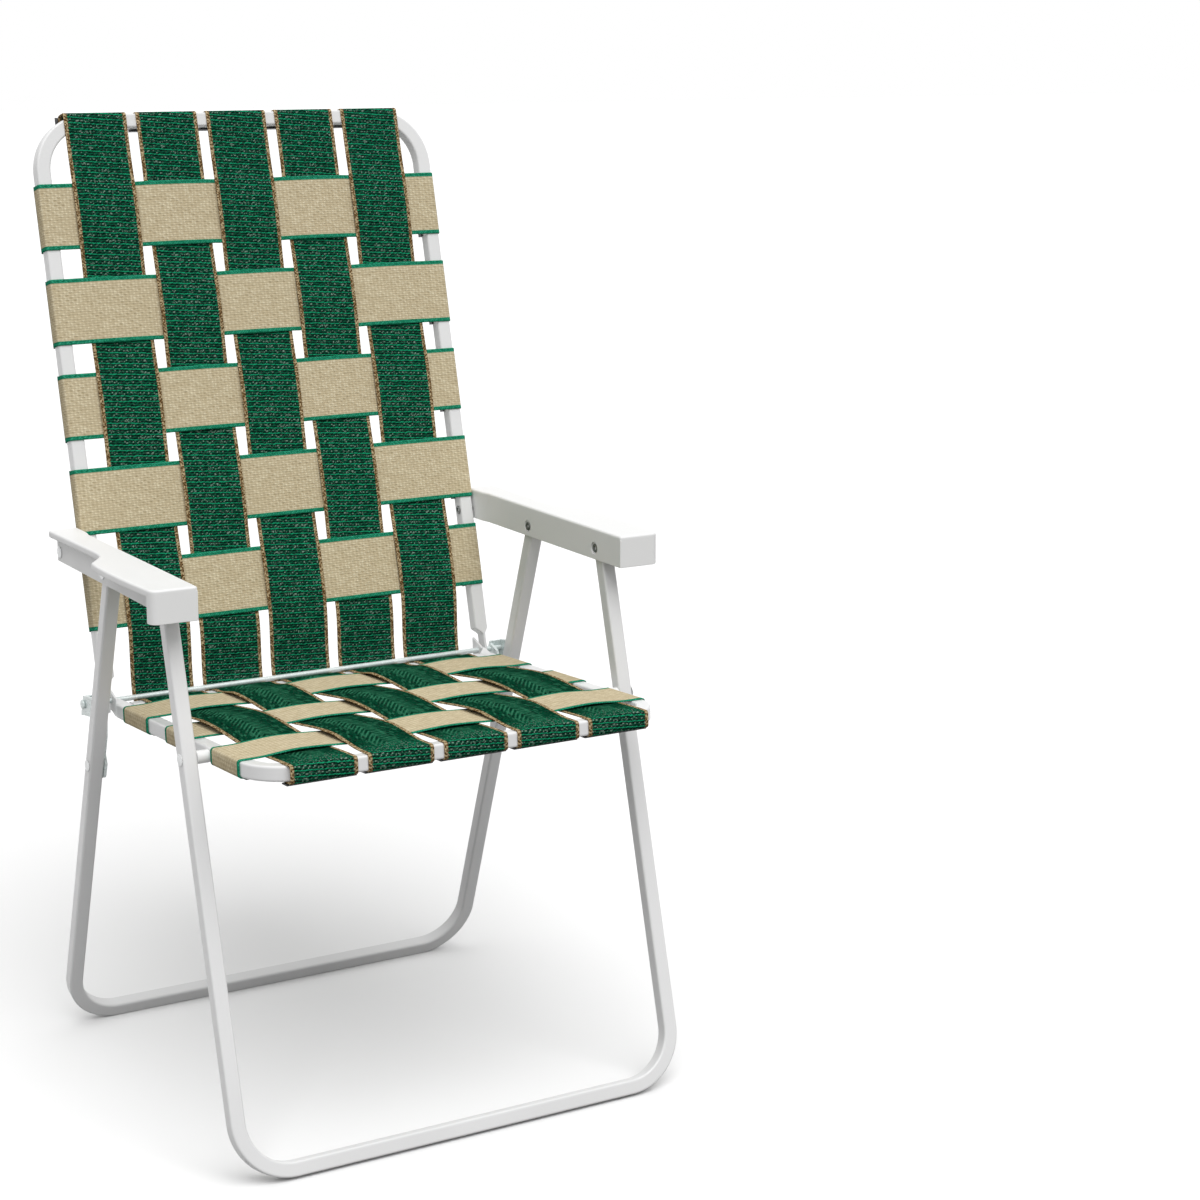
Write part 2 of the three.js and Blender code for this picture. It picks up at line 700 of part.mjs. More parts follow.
function sideClip(sign, room, alongAxis, outAxis, origin, toBend) {
  const clipHalf = strapWidth / 2 + sideClipOverhang;
  const span = [-clipHalf, clipHalf];
  const lip = [Math.max(span[0], -toBend), span[1]];
  return clipSolid(span, lip, room, { alongAxis, innerAxis: axis(-sign, 0, 0), outAxis }, origin);
}

function addClips(backGroup, seatGroup) {
  columnCentres.forEach((x, column) => {
    const top = endClip(x, backHalfWidth - half - backBendRadius, clipRoom,
      axis(0, 0, -1), axis(0, 1, 0), axis(0, backBehindHinge, backLength));
    backGroup.add(makeMesh(`back_top_clip_${column + 1}`, top, clipFinish));
    const front = endClip(x, seatHalfWidth - half - seatBendRadius, clipRoom,
      axis(0, 1, 0), axis(0, 0, -1), axis(0, -seatLength, -seatBelowHinge));
    seatGroup.add(makeMesh(`seat_front_clip_${column + 1}`, front, clipFinish));
  });
  backRows.forEach((v, row) => {
    for (const [side, sign] of [['left', -1], ['right', 1]]) {
      const place = axis(sign * (backHalfWidth - half), backBehindHinge, v);
      const toBend = backLength - backBendRadius - v;
      const clip = sideClip(sign, clipRoom, axis(0, 0, -1), axis(0, 1, 0), place, toBend);
      backGroup.add(makeMesh(`back_side_clip_${side}_${row + 1}`, clip, clipFinish));
    }
  });
}

// Armrest: a broad rounded plate over an open channel that takes both leg tops

function armOutline() {
  const shape = new THREE.Shape();
  shape.moveTo(armInnerFrontX, armFrontY);
  shape.lineTo(armFrontOuterX - armFrontCorner, armFrontY);
  shape.quadraticCurveTo(armFrontOuterX, armFrontY, armFrontOuterX, armFrontY + armFrontCorner);
  shape.quadraticCurveTo(armPadWidestX, (armFrontY + armPadWidestY) / 2, armPadWidestX, armPadWidestY);
  shape.quadraticCurveTo(armPadWidestX, (armPadWidestY + armShoulderY) / 2, armShoulderX, armShoulderY);
  const middle = (armShoulderY + armWaistY) / 2;
  shape.bezierCurveTo(
    armWaistOuterX + armEdgeRound, middle, armWaistOuterX, middle, armWaistOuterX, armWaistY);
  shape.lineTo(armRearOuterX, armRearY);
  shape.lineTo(armBackX, armRearY);
  shape.lineTo(armBackX, armStepRearY);
  shape.lineTo(armInnerRearX, armStepFrontY);
  shape.closePath();
  return shape;
}

function planPlate(shape, fromZ, toZ, round) {
  const plate = new THREE.ExtrudeGeometry(shape, {
    depth: toZ - fromZ - 2 * round, curveSegments: armCurveSteps,
    bevelEnabled: round > 0, bevelSegments: cornerSteps,
    bevelThickness: round, bevelSize: round, bevelOffset: -round,
  });
  plate.translate(0, 0, fromZ + round);
  return plate;
}

// Front wall with its rounded corner and short side return
function armFrontWall() {
  const shape = new THREE.Shape();
  const centreX = armFrontOuterX - armFrontCorner;
  const centreY = armFrontY + armFrontCorner;
  shape.moveTo(armInnerFrontX, armFrontY);
  shape.lineTo(centreX, armFrontY);
  shape.absarc(centreX, centreY, armFrontCorner, -Math.PI / 2, 0, false);
  shape.lineTo(armFrontOuterX, armFrontY + armReturn);
  shape.lineTo(armFrontOuterX - armWall, armFrontY + armReturn);
  shape.lineTo(armFrontOuterX - armWall, centreY);
  shape.absarc(centreX, centreY, armFrontCorner - armWall, 0, -Math.PI / 2, true);
  shape.lineTo(armInnerFrontX, armFrontY + armWall);
  shape.closePath();
  return shape;
}

function armrest() {
  const bottom = armTop - armHeight;
  const plateBottom = armTop - armPlate;
  const skirtTop = plateBottom + armPlate / 2;
  const plate = planPlate(armOutline(), plateBottom, armTop, armEdgeRound);
  const skirt = planPlate(polygon([
    [armInnerFrontX, armFrontY], [armWallX, armFrontY], [armWallX, armRearY - gap],
    [armBackX, armRearY - gap], [armBackX, armStepRearY], [armInnerRearX, armStepFrontY],
  ]), bottom, skirtTop, 0);
  const front = planPlate(armFrontWall(), bottom, skirtTop, 0);
  const legInner = legInnerX - gap;
  const legOuter = legHalfWidth + gap;
  const channel = planPlate(polygon([
    [legInner, armFrontY + armWall], [legOuter, armFrontY + armWall],
    [legOuter, armChannelRearY], [legInner, armChannelRearY],
  ]), bottom - cutOverrun, plateBottom, 0);
  const bore = rivetShank + gap;
  const far = armRearOuterX + cutOverrun;
  const bores = [[backPivotY, backPivotZ], [rearPivotY, rearPivotZ], [frontPivotY, frontPivotZ]]
    .map(([y, z]) => barAlongX(bore, 0, far, y, z));
  const pockets = [[rearPivotY, rearPivotZ], [frontPivotY, frontPivotZ]]
    .map(([y, z]) => barAlongX(armPocketRadius, 0, armPocketFloorX, y, z));
  return cut(join(plate, skirt, front), channel, ...bores, ...pockets);
}

// Assembly

function build() {
  const chair = new THREE.Group();
  const frontAngle = Math.atan2(frontFootY - frontPivotY, frontPivotZ - footZ);
  const rearAngle = Math.atan2(rearFootY - rearPivotY, rearPivotZ - footZ);
  const frontLegs = hingedGroup(frontPivotY, frontPivotZ, frontAngle);
  const rearLegs = hingedGroup(rearPivotY, rearPivotZ, rearAngle);
  const backGroup = hingedGroup(hingeY, hingeZ, -backAngle);
  const seatGroup = hingedGroup(hingeY, hingeZ, -seatAngle);
  const linkGroup = hingedGroup(linkPivotY, linkPivotZ, rearAngle);
  const armGroup = new THREE.Group();
  chair.add(frontLegs, rearLegs, backGroup, seatGroup, linkGroup, armGroup);

  legFrame('front_leg_frame', frontLegs, frontFootY, seatPivotY, seatPivotZ);
  legFrame('rear_leg_frame', rearLegs, rearFootY, linkPivotY, linkPivotZ);
  backGroup.add(makeMesh('back_frame', backFrame(backGroup), frameFinish));
  backGroup.add(makeMesh('hinge_rod', hingeRod(), zincFinish));
  seatGroup.add(makeMesh('seat_frame', seatFrame(seatGroup), frameFinish));
  seatGroup.add(makeMesh('seat_rear_crossbar', seatCrossbar(), frameFinish));

  const rodInLink = inGroup(linkGroup, hingeY, hingeZ);
  addPair(linkGroup, 'lock_link', lockLink(rodInLink), zincFinish, 0, 0);

  addPair(armGroup, 'armrest', armrest(), armFinish, 0, 0);
  const armHead = armWallX + gap;
  const backInner = backHalfWidth - tubeSize - gap;
  const pocketFloor = armPocketFloorX - gap;
  addPair(armGroup, 'back_rivet', rivet(armHead, backInner, rivetTailRadius), rivetFinish,
    backPivotY, backPivotZ);
  addPair(armGroup, 'rear_leg_rivet', rivet(armHead, pocketFloor, rivetTailRadius), rivetFinish,
    rearPivotY, rearPivotZ);
  addPair(armGroup, 'front_leg_rivet', rivet(armHead, pocketFloor, rivetTailRadius), rivetFinish,
    frontPivotY, frontPivotZ);

  const legHead = legHalfWidth + gap;
  const railInner = seatHalfWidth - tubeSize - gap;
  const seatPin = inGroup(frontLegs, seatPivotY, seatPivotZ);
  addPair(frontLegs, 'seat_rivet', rivet(legHead, railInner, seatRivetTailRadius), rivetFinish,
    seatPin.y, seatPin.z);
  addPair(frontLegs, 'seat_spacer', seatSpacer(), spacerFinish, seatPin.y, seatPin.z);
  const linkPin = inGroup(rearLegs, linkPivotY, linkPivotZ);
  addPair(rearLegs, 'link_rivet', rivet(legHead, legInnerX, rivetShank), rivetFinish,
    linkPin.y, linkPin.z);

  addStraps(backGroup, seatGroup);
  addClips(backGroup, seatGroup);

  // Origin on the floor under the middle of the chair's box
  chair.updateMatrixWorld(true);
  const box = new THREE.Box3().setFromObject(chair, true);
  chair.position.set(0, -(box.min.y + box.max.y) / 2, -box.min.z);
  return chair;
}

export default build();
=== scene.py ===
import json
import math

import bmesh
import bpy
from mathutils import Matrix, Vector


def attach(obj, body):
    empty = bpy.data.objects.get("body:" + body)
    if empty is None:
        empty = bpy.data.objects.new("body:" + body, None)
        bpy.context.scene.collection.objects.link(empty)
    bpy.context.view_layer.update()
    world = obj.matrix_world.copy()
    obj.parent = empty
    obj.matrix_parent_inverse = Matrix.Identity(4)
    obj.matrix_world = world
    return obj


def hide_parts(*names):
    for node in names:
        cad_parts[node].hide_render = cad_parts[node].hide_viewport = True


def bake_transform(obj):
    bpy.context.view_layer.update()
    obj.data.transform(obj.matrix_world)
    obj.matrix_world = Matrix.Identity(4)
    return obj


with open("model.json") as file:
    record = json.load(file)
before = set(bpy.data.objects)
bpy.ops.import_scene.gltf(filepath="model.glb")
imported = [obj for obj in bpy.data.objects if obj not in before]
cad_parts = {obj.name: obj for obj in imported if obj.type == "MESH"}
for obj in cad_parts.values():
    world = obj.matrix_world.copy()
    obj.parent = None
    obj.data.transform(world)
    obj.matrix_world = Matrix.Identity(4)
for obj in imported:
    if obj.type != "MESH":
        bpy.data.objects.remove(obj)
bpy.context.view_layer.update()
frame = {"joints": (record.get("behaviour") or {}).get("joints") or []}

# Folding webbed lawn chair. Metres, +Z up, the front of the chair faces -Y.

# Square tube and its bends
TUBE = 0.016
HALF = TUBE / 2
TUBE_WALL = 0.0012
TUBE_CORNER = 0.0024
GAP = 0.0003
LEG_BEND = 0.057
BACK_BEND = 0.057
SEAT_BEND = 0.050

# Frames
LEG_HALF_WIDTH = 0.2645
LEG_TOP_REACH = 0.011
BACK_HALF_WIDTH = 0.242
BACK_LENGTH = 0.6415
BACK_LEAN = 0.251
BACK_BEHIND_HINGE = 0.0014
SEAT_HALF_WIDTH = 0.234
SEAT_LENGTH = 0.413
SEAT_RISE = 0.062
SEAT_BELOW_HINGE = 0.0078
SEAT_CROSSBAR_REACH = 0.0275
FOOT_HEIGHT = 0.00941
FRONT_FOOT_Y = -0.2717
REAR_FOOT_Y = 0.236

# Crushed tube ends
TAB_THICKNESS = 0.003
TAB_CORNER = 0.001
TAB_SLIT = 0.0007
BACK_TAB_DEPTH = 0.0155
BACK_TAB_TIP = 0.013
BACK_TAB_TIP_DEPTH = 0.012
BACK_TAB_ROOT = 0.018
BACK_NECK_TOP = 0.027
BACK_TAB_OFFSET = 0.0025
BACK_TAB_EASE = 0.0015
BACK_TAB_ROUND = 0.004
SEAT_TAB_HEIGHT = 0.021
SEAT_TAB_TIP = 0.0125
SEAT_TAB_TIP_HEIGHT = 0.0235
SEAT_TAB_ROOT = 0.012
SEAT_NECK_FRONT = 0.024
SEAT_TAB_OFFSET = 0.0035
SEAT_TAB_RAISE = 0.002
SEAT_TAB_TIP_RAISE = 0.0095
SEAT_TAB_EASE = 0.003

# Hinge rod and rivets
ROD_RADIUS = 0.003
KNOB_RADIUS = 0.005
KNOB_LENGTH = 0.0028
RIVET_SHANK = 0.003
RIVET_HEAD = 0.0065
RIVET_HEAD_HEIGHT = 0.002
RIVET_TAIL = 0.005
RIVET_TAIL_HEIGHT = 0.0012
RIVET_HOLLOW = 0.0022
RIVET_HOLLOW_DEPTH = 0.004
RIVET_SOFT = 0.0004
ROLL_STEPS = 6
DOME_STEPS = 8
SEAT_RIVET_TAIL = 0.006
SPACER_RADIUS = 0.0068
SPACER_EDGE = 0.0006

# Lock links
LINK_PLATE = 0.003
LINK_INNER_X = 0.245
LINK_OUTER_X = 0.2625
LINK_BAR_HALF = 0.0087
LINK_BELOW_PIVOT = 0.009
LINK_BAR_FRONT = 0.0015
LINK_BOSS_TOP = 0.005
LINK_HEAD_BELOW_ROD = 0.0165
LINK_HEAD_ABOVE_ROD = 0.0078
LINK_HEAD_FRONT = 0.002
LINK_BEHIND_ROD = 0.0052
LINK_WEB = 0.002
LINK_EAR_SLOPE = 0.5
LINK_EAR_CUT = 0.005
LINK_ROUND_STEPS = 20
LINK_CHEEK_ABOVE_ROD = 0.0055
LINK_SHOULDER = 0.008
LINK_FILLET = 0.002
LINK_EYE = 0.005
LINK_EYE_HEIGHT = 0.0012

# Webbing
STRAP_WIDTH = 0.073
STRAP_HALF = STRAP_WIDTH / 2
STRAP_THICKNESS = 0.0012
STRAP_PITCH = 0.0842
BACK_ROWS = [0.5358, 0.4306, 0.3254, 0.2202, 0.115]
SEAT_ROWS = [0.0835, 0.2071, 0.3307]
STRAP_TAIL = 0.014
STRAP_ROOM = 0.0005
STRAP_LOW = HALF + GAP + STRAP_THICKNESS / 2
STRAP_HIGH = STRAP_LOW + STRAP_THICKNESS + STRAP_ROOM
WRAP_RADIUS = TUBE_CORNER + GAP + STRAP_THICKNESS / 2
ROD_WRAP = ROD_RADIUS + GAP + STRAP_THICKNESS / 2
BACK_CROWN = 0.0016
BACK_DIP = 0.0008
SEAT_LONG_CROWN = 0.0042
SEAT_LONG_DIP = 0.0016
SEAT_CROSS_CROWN = 0.0012
SEAT_CROSS_DIP = 0.0008
STRAP_STEP = 0.0025
SEAT_SHEEN_FADE = 0.022
ROD_STEPS = 8
OFF_ROD = 0.002
BAR_CREST = 0.0004
BAR_SLOPE = 0.25

# Strap clips
CLIP_THICKNESS = 0.0015
CLIP_LIP = 0.004
SEAT_CLIP_INSET = 0.0055
FRONT_CLIP_WIDTH = 0.075
END_CLIP_WIDTH = 0.079
SIDE_CLIP_WIDTH = 0.0744
SEAT_CLIP_ROOM = STRAP_THICKNESS + GAP
CLIP_ROOM = SEAT_CLIP_ROOM + 0.0006

# Moulded armrests
ARM_TOP = 0.60071
ARM_PLATE = 0.0084
ARM_HEIGHT = 0.035
ARM_ROUND = 0.0026
ARM_FRONT_Y = -0.1731
ARM_REAR_Y = 0.1754
ARM_INNER_FRONT_X = 0.2445
ARM_INNER_REAR_X = 0.2465
ARM_BACK_X = 0.2441
ARM_STEP_FRONT_Y = 0.1314
ARM_STEP_REAR_Y = 0.1424
ARM_WALL_X = 0.268
ARM_WALL = 0.003
ARM_REAR_OUTER_X = 0.2775
ARM_WAIST_X = 0.2745
ARM_WAIST_Y = 0.0414
ARM_SHOULDER_X = 0.2965
ARM_SHOULDER_Y = -0.0126
ARM_WIDEST_X = 0.2988
ARM_WIDEST_Y = -0.0486
ARM_FRONT_X = 0.294
ARM_FRONT_CORNER = 0.009
ARM_RETURN = 0.013
ARM_POCKET_RADIUS = 0.007
ARM_POCKET_FLOOR_X = 0.2472
ARM_CHANNEL_REAR_Y = 0.1594

# How far joined faces keep out of one plane, where bores start, and how far cuts run past
JOIN_INSET = 0.00005
BORE_FROM_X = 0.2
CUT_PAST = 0.005

# Bevels: width, steps, and the angle in degrees from which an edge gets one
LINK_BEVEL = (0.0007, 3, 30)
CLIP_BEVEL = (0.0004, 2, 30)
ARM_WALL_BEVEL = (0.0008, 3, 50)
ARM_PLATE_BEVEL = (ARM_ROUND, 5, 50)

# Steps of curves, how far support points lie beside a corner, and how near points are made one
ROUND_STEPS = 40
BEND_STEPS = 24
CORNER_STEPS = 5
NECK_STEPS = 8
CORNER_SUPPORT = 0.0006
MERGE_DISTANCE = 1e-7

LEFT_RIGHT = (("left", -1), ("right", 1))
COLUMNS = [column * STRAP_PITCH for column in (-2, -1, 0, 1, 2)]

# Angles in degrees past which an edge stays sharp, by the kind of piece
SHARP_SPACER = 30
SHARP_PLATE = 35
SHARP_ROUND = 40
SHARP_CRUSHED = 50
SHARP_WEBBING = 60

# Pivots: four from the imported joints, and the two where the linkage is opened
pivots = {joint["name"]: Vector(joint["pos_m"]) for joint in frame["joints"]}
BACK_PIVOT = pivots["back_fold"]
FRONT_PIVOT = pivots["front_leg_fold"]
REAR_PIVOT = pivots["rear_leg_fold"]
HINGE = pivots["seat_fold"]
SEAT_PIVOT = Vector((0, -0.1611, 0.4222))
LINK_PIVOT = Vector((0, 0.1169, 0.3452))
X_AXIS = Vector((1, 0, 0))


# Camera

CAMERA_PLACE = Vector((-1.168, -2.4824, 1.1449))
CAMERA_HEADING = math.radians(30.987)
CAMERA_PITCH = math.radians(-12.786)
CAMERA_ROLL = math.radians(0.148)
CAMERA_LENS = 76.38
CAMERA_SENSOR = 36


def in_scene(name, data):
    made = bpy.data.objects.new(name, data)
    bpy.context.scene.collection.objects.link(made)
    return made


def add_camera():
    data = bpy.data.cameras.new("camera")
    data.lens = CAMERA_LENS
    data.sensor_width = CAMERA_SENSOR
    camera = in_scene("camera", data)
    level = math.cos(CAMERA_PITCH)
    forward = Vector((math.sin(CAMERA_HEADING) * level, math.cos(CAMERA_HEADING) * level,
                      math.sin(CAMERA_PITCH)))
    turn = forward.to_track_quat("-Z", "Y").to_matrix().to_4x4()
    camera.matrix_world = Matrix.Translation(CAMERA_PLACE) @ turn @ Matrix.Rotation(CAMERA_ROLL, 4, "Z")
    bpy.context.scene.camera = camera


# Node helpers

TWO_PI = 2 * math.pi


class Value:
    """A number in a material's node tree. Sums, products and waves of it are nodes too."""

    def __init__(self, shader, socket):
        self.shader = shader
        self.socket = socket

    def math(self, operation, other=0.0):
        made = self.shader.node("ShaderNodeMath", {0: self, 1: other}, operation=operation)
        return Value(self.shader, made.outputs[0])

    def __add__(self, other):
        return self.math("ADD", other)

    def __sub__(self, other):
        return self.math("SUBTRACT", other)

    def __mul__(self, other):
        return self.math("MULTIPLY", other)

    def __truediv__(self, other):
        return self.math("DIVIDE", other)

    def size(self):
        return self.math("ABSOLUTE")

    def cell(self, width):
        """The number of the cell that the value lies in, for cells of one width."""
        return (self / width).math("FLOOR")

    def centred(self):
        """A value from 0 to 1 moved to lie about zero."""
        return self - 0.5

    def wave(self, period):
        return (self * (TWO_PI / period)).math("COSINE")

    def ramp(self, low, high, out_low=0.0, out_high=1.0, kind="SMOOTHSTEP"):
        given = {0: self, 1: low, 2: high, 3: out_low, 4: out_high}
        made = self.shader.node("ShaderNodeMapRange", given, interpolation_type=kind)
        return Value(self.shader, made.outputs[0])


class Shader:
    """The nodes of a material or of the world, and short calls for them."""

    def __init__(self, owner, main="Principled BSDF"):
        owner.use_nodes = True
        self.owner = owner
        self.tree = owner.node_tree
        self.main = self.tree.nodes[main]

    def node(self, kind, inputs=None, **settings):
        """A new node with its settings, and what feeds its inputs by number or name."""
        made = self.tree.nodes.new(kind)
        for key, value in settings.items():
            setattr(made, key, value)
        for key, value in (inputs or {}).items():
            self.feed(made.inputs[key], value)
        return made

    def feed(self, socket, value):
        """Links an output into the socket, or sets a number or a colour on it."""
        if isinstance(value, Value):
            value = value.socket
        if isinstance(value, bpy.types.NodeSocket):
            self.tree.links.new(value, socket)
        else:
            socket.default_value = (*value, 1) if isinstance(value, tuple) else value

    def mix(self, share, first, second):
        """A colour between two colours."""
        return self.node("ShaderNodeMix", {0: share, 6: first, 7: second}, data_type="RGBA").outputs[2]

    def combine(self, x, y):
        return self.node("ShaderNodeCombineXYZ", {0: x, 1: y}).outputs[0]

    def parts(self, vector):
        made = self.node("ShaderNodeSeparateXYZ", {0: vector})
        return [Value(self, output) for output in made.outputs]

    def noise(self, vector, scale, detail=2.0, rough=0.5):
        made = self.node("ShaderNodeTexNoise", {
            "Vector": vector, "Scale": scale, "Detail": detail, "Roughness": rough})
        return Value(self, made.outputs["Fac"])

    def random(self, first, second):
        """A random value for each pair of cell numbers."""
        made = self.node("ShaderNodeTexWhiteNoise", {"Vector": self.combine(first, second)})
        return Value(self, made.outputs["Value"])

    def bump(self, height, distance, strength):
        made = self.node("ShaderNodeBump", {
            "Strength": strength, "Distance": distance, "Height": height})
        self.set(Normal=made.outputs[0])

    def set(self, **values):
        for key, value in values.items():
            self.feed(self.main.inputs[key.replace("_", " ")], value)


# Webbing materials. Their lengths are in millimetres.

MM = 1000
EDGE_SOFTNESS = 0.4
SELVEDGE_KNOT = 1.5
DRIFT_SCALE = 0.12
YARN_ROUGH = 0.75
WEBBING_ROUGHNESS = 0.8
WEAVE_DEPTH = 0.0005
WEAVE_STRENGTH = 0.8

# Webbing greens: the darkest is painted shade in the weave's hollows, the bright green a painted
# highlight on its crests, the pale grey-green painted glints, and the seat's dark green and rib green a
# painted shade and sheen of the strap seen at a grazing angle
GREEN_GAP_SHADE = (0.0010, 0.011, 0.007)
GREEN_DULL = (0.009, 0.050, 0.030)
GREEN_YARN = (0.004, 0.115, 0.055)
GREEN_CREST_HIGHLIGHT = (0.013, 0.41, 0.19)
GREEN_GLINT = (0.26, 0.37, 0.30)
GREEN_SEAT_SHADE = (0.0016, 0.045, 0.021)
GREEN_SHEEN_RIB = (0.040, 0.21, 0.115)
BROWN_DARK = (0.045, 0.022, 0.009)
BROWN_BODY = (0.24, 0.145, 0.06)
BROWN_LIGHT = (0.62, 0.49, 0.29)
GREEN_DRIFT = 2.2
LINE_PITCH = 6.1
LINE_SKEW = 0.075
LINE_JAG = 0.3
STITCH_PITCH = 2.7
STITCH_ACROSS = 6.0
STITCH_ALONG = 4.05
STREAK_ACROSS = 0.6
STREAK_SCALE = 1.7
STREAK_DETAIL = 3.0
GLINT_SIZE = 1.35
SELVEDGE = 4.3
BRAID_PITCH = 3.6
CHEVRON_PITCH = 8.1
CHEVRON_SLOPE = 1.45
DOT_ALONG = 5.2
DOT_ACROSS = 3.0

# What each pattern adds to the weave's height, which also sets painted shade in its hollows, and to the
# crests, which get a painted highlight
LEVEL_LINE, LEVEL_STITCH, LEVEL_CELL, LEVEL_STREAK = 0.42, 0.22, 0.4, 1.9
CREST_CELL, CREST_STITCH, CREST_STREAK = 0.2, 0.06, 0.7
RELIEF_RIB, RELIEF_CREST, RELIEF_BRAID = 0.8, 0.4, 0.5

# From where to where one look gives way to the next, and the shares there if not 0 and 1
GAP_TO_DULL = (-0.55, 0.05)
DULL_TO_YARN = (0.05, 0.55)
YARN_TO_HIGHLIGHT = (0.70, 1.12)
GLINT_CHANCE = (0.72, 0.94)
GLINT_OFF_LINE = (0.6, -0.4)
GLINT_ON_STITCH = (-0.8, 0.6, 0.4, 1.0)
GLINT_SHARE = 0.9
RIB_CREST = (-0.3, 0.9)
RIB_MIDDLE = (18.0, 10.0)
DOTS_TO_GAP = (0.45, 0.0, 0.0, 0.85)
DOTS_TO_RIB = (0.74, 0.95, 0.0, 0.6)
RIB_IN_DOTS = (0.0, 0.6, 0.5, 0.9)
SEAT_SHEEN_SHARE = 0.85
BROWN_SHADE = (0.0, 0.8, 0.0, 0.9)
BROWN_KNOTS = (0.5, 0.7, 0.0, 0.85)


def strap_coordinates(shader):
    """Millimetres across and along a strap."""
    return shader.parts(shader.node("ShaderNodeUVMap", uv_map="strap").outputs[0])[:2]


def knotted(shader, along, side, size):
    """A random value for each square knot of the given size."""
    return shader.random(along.cell(size), side.cell(size))


def selvedge_share(side, width):
    rim = STRAP_HALF * MM - width
    return side.ramp(rim - EDGE_SOFTNESS, rim + EDGE_SOFTNESS)


def finish_webbing(shader, edge, woven, selvedge, height):
    shader.set(Base_Color=shader.mix(edge, woven, selvedge), Roughness=WEBBING_ROUGHNESS,
               Specular_IOR_Level=0.0)
    shader.bump(height, WEAVE_DEPTH, WEAVE_STRENGTH)
    return shader.owner


def green_webbing():
    """Cross lines over dull green, with painted shade in the weave's hollows and painted highlights on
    its crests, painted glints between the lines, and painted sheen in chevrons on the seat.
    """
    shader = Shader(bpy.data.materials.new("green_webbing"))
    across, along = strap_coordinates(shader)
    seat = Value(shader, shader.node("ShaderNodeAttribute", attribute_name="seat_share").outputs["Fac"])
    side = across.size()
    bent = along + shader.noise(shader.combine(across, along), DRIFT_SCALE).centred() * GREEN_DRIFT
    skewed = bent + across * LINE_SKEW
    row = skewed.cell(LINE_PITCH / 2)
    column = (across + row * (STITCH_PITCH / 2)).cell(STITCH_PITCH)
    line = (skewed + across.wave(STITCH_PITCH) * LINE_JAG).wave(LINE_PITCH)
    stitch = (along / STITCH_ALONG - across / STITCH_ACROSS).wave(1)
    cell = shader.random(column, row).centred()
    streak = shader.noise(shader.combine(across * STREAK_ACROSS, along), STREAK_SCALE, STREAK_DETAIL,
                          YARN_ROUGH).centred()
    level = (skewed.wave(LINE_PITCH / 2) * LEVEL_LINE + stitch * LEVEL_STITCH + cell * LEVEL_CELL
             + streak * LEVEL_STREAK)
    crest = line + cell * CREST_CELL + stitch * CREST_STITCH + streak * CREST_STREAK
    # Dark to bright by the weave's height and crests: painted shade in the hollows and painted
    # highlights on the crests, over the yarn's own random tone
    woven = shader.mix(level.ramp(*GAP_TO_DULL), GREEN_GAP_SHADE, GREEN_DULL)
    woven = shader.mix(level.ramp(*DULL_TO_YARN), woven, GREEN_YARN)
    woven = shader.mix(crest.ramp(*YARN_TO_HIGHLIGHT), woven, GREEN_CREST_HIGHLIGHT)
    # Pale specks between the lines: painted glints of the fibres
    glint = knotted(shader, bent, across, GLINT_SIZE).ramp(*GLINT_CHANCE) * line.ramp(*GLINT_OFF_LINE)
    glint = glint * stitch.ramp(*GLINT_ON_STITCH) * GLINT_SHARE
    woven = shader.mix(glint, woven, GREEN_GLINT)

    # On the seat: a darker painted shade, with chevron ribs and dots of painted sheen of the strap seen
    # at a grazing angle, strongest mid-strap
    slant = bent - side * CHEVRON_SLOPE
    sheen_rib = slant.wave(CHEVRON_PITCH).ramp(*RIB_CREST)
    dots = shader.random(slant.cell(DOT_ALONG), side.cell(DOT_ACROSS))
    seated = shader.mix(dots.ramp(*DOTS_TO_GAP), GREEN_SEAT_SHADE, GREEN_GAP_SHADE)
    seated = shader.mix(dots.ramp(*DOTS_TO_RIB), seated, GREEN_SHEEN_RIB)
    seated = shader.mix(sheen_rib * side.ramp(*RIB_MIDDLE) * dots.ramp(*RIB_IN_DOTS), seated, GREEN_SHEEN_RIB)
    woven = shader.mix(seat * SEAT_SHEEN_SHARE, woven, seated)

    braid = (along + side).wave(BRAID_PITCH)
    brown = shader.mix(braid.ramp(*BROWN_SHADE), BROWN_BODY, BROWN_DARK)
    knots = knotted(shader, along, side, SELVEDGE_KNOT)
    brown = shader.mix(knots.ramp(*BROWN_KNOTS), brown, BROWN_LIGHT)
    edge = selvedge_share(side, SELVEDGE)
    height = level + sheen_rib * seat * RELIEF_RIB + crest * RELIEF_CREST + braid * (edge * RELIEF_BRAID)
    return finish_webbing(shader, edge, woven, brown, height)


# Tan colours: the dark one is painted shade in the weave's hollows, the light one painted highlights on
# its raised knots
TAN_HOLLOW_SHADE = (0.33, 0.25, 0.14)
TAN_BODY = (0.60, 0.505, 0.33)
TAN_HIGHLIGHT = (0.90, 0.82, 0.61)
EDGE_GREEN = (0.006, 0.17, 0.085)
EDGE_GREEN_LIGHT = (0.050, 0.44, 0.27)
TAN_DRIFT = 1.1
DRIFT_DETAIL = 3.0
KNOT_ALONG = 4.4
KNOT_ACROSS = 5.4
FIBRE_ALONG = 0.5
FIBRE_SCALE = 1.2
FIBRE_DETAIL = 4.0
TAN_EDGE = 4.6
TWIST_PITCH = 3.0
TONE_ALONG, TONE_SLOPE, TONE_ACROSS, TONE_CELL, TONE_FIBRE = 0.24, 0.17, 0.26, 0.7, 1.8
BODY_TO_SHADE = (-0.2, -1.3, 0.0, 0.75)
BODY_TO_HIGHLIGHT = (-0.1, 1.2)
TWIST_SHINE = (-0.9, 0.9, 0.3, 1.0)
RELIEF_TWIST = 0.4


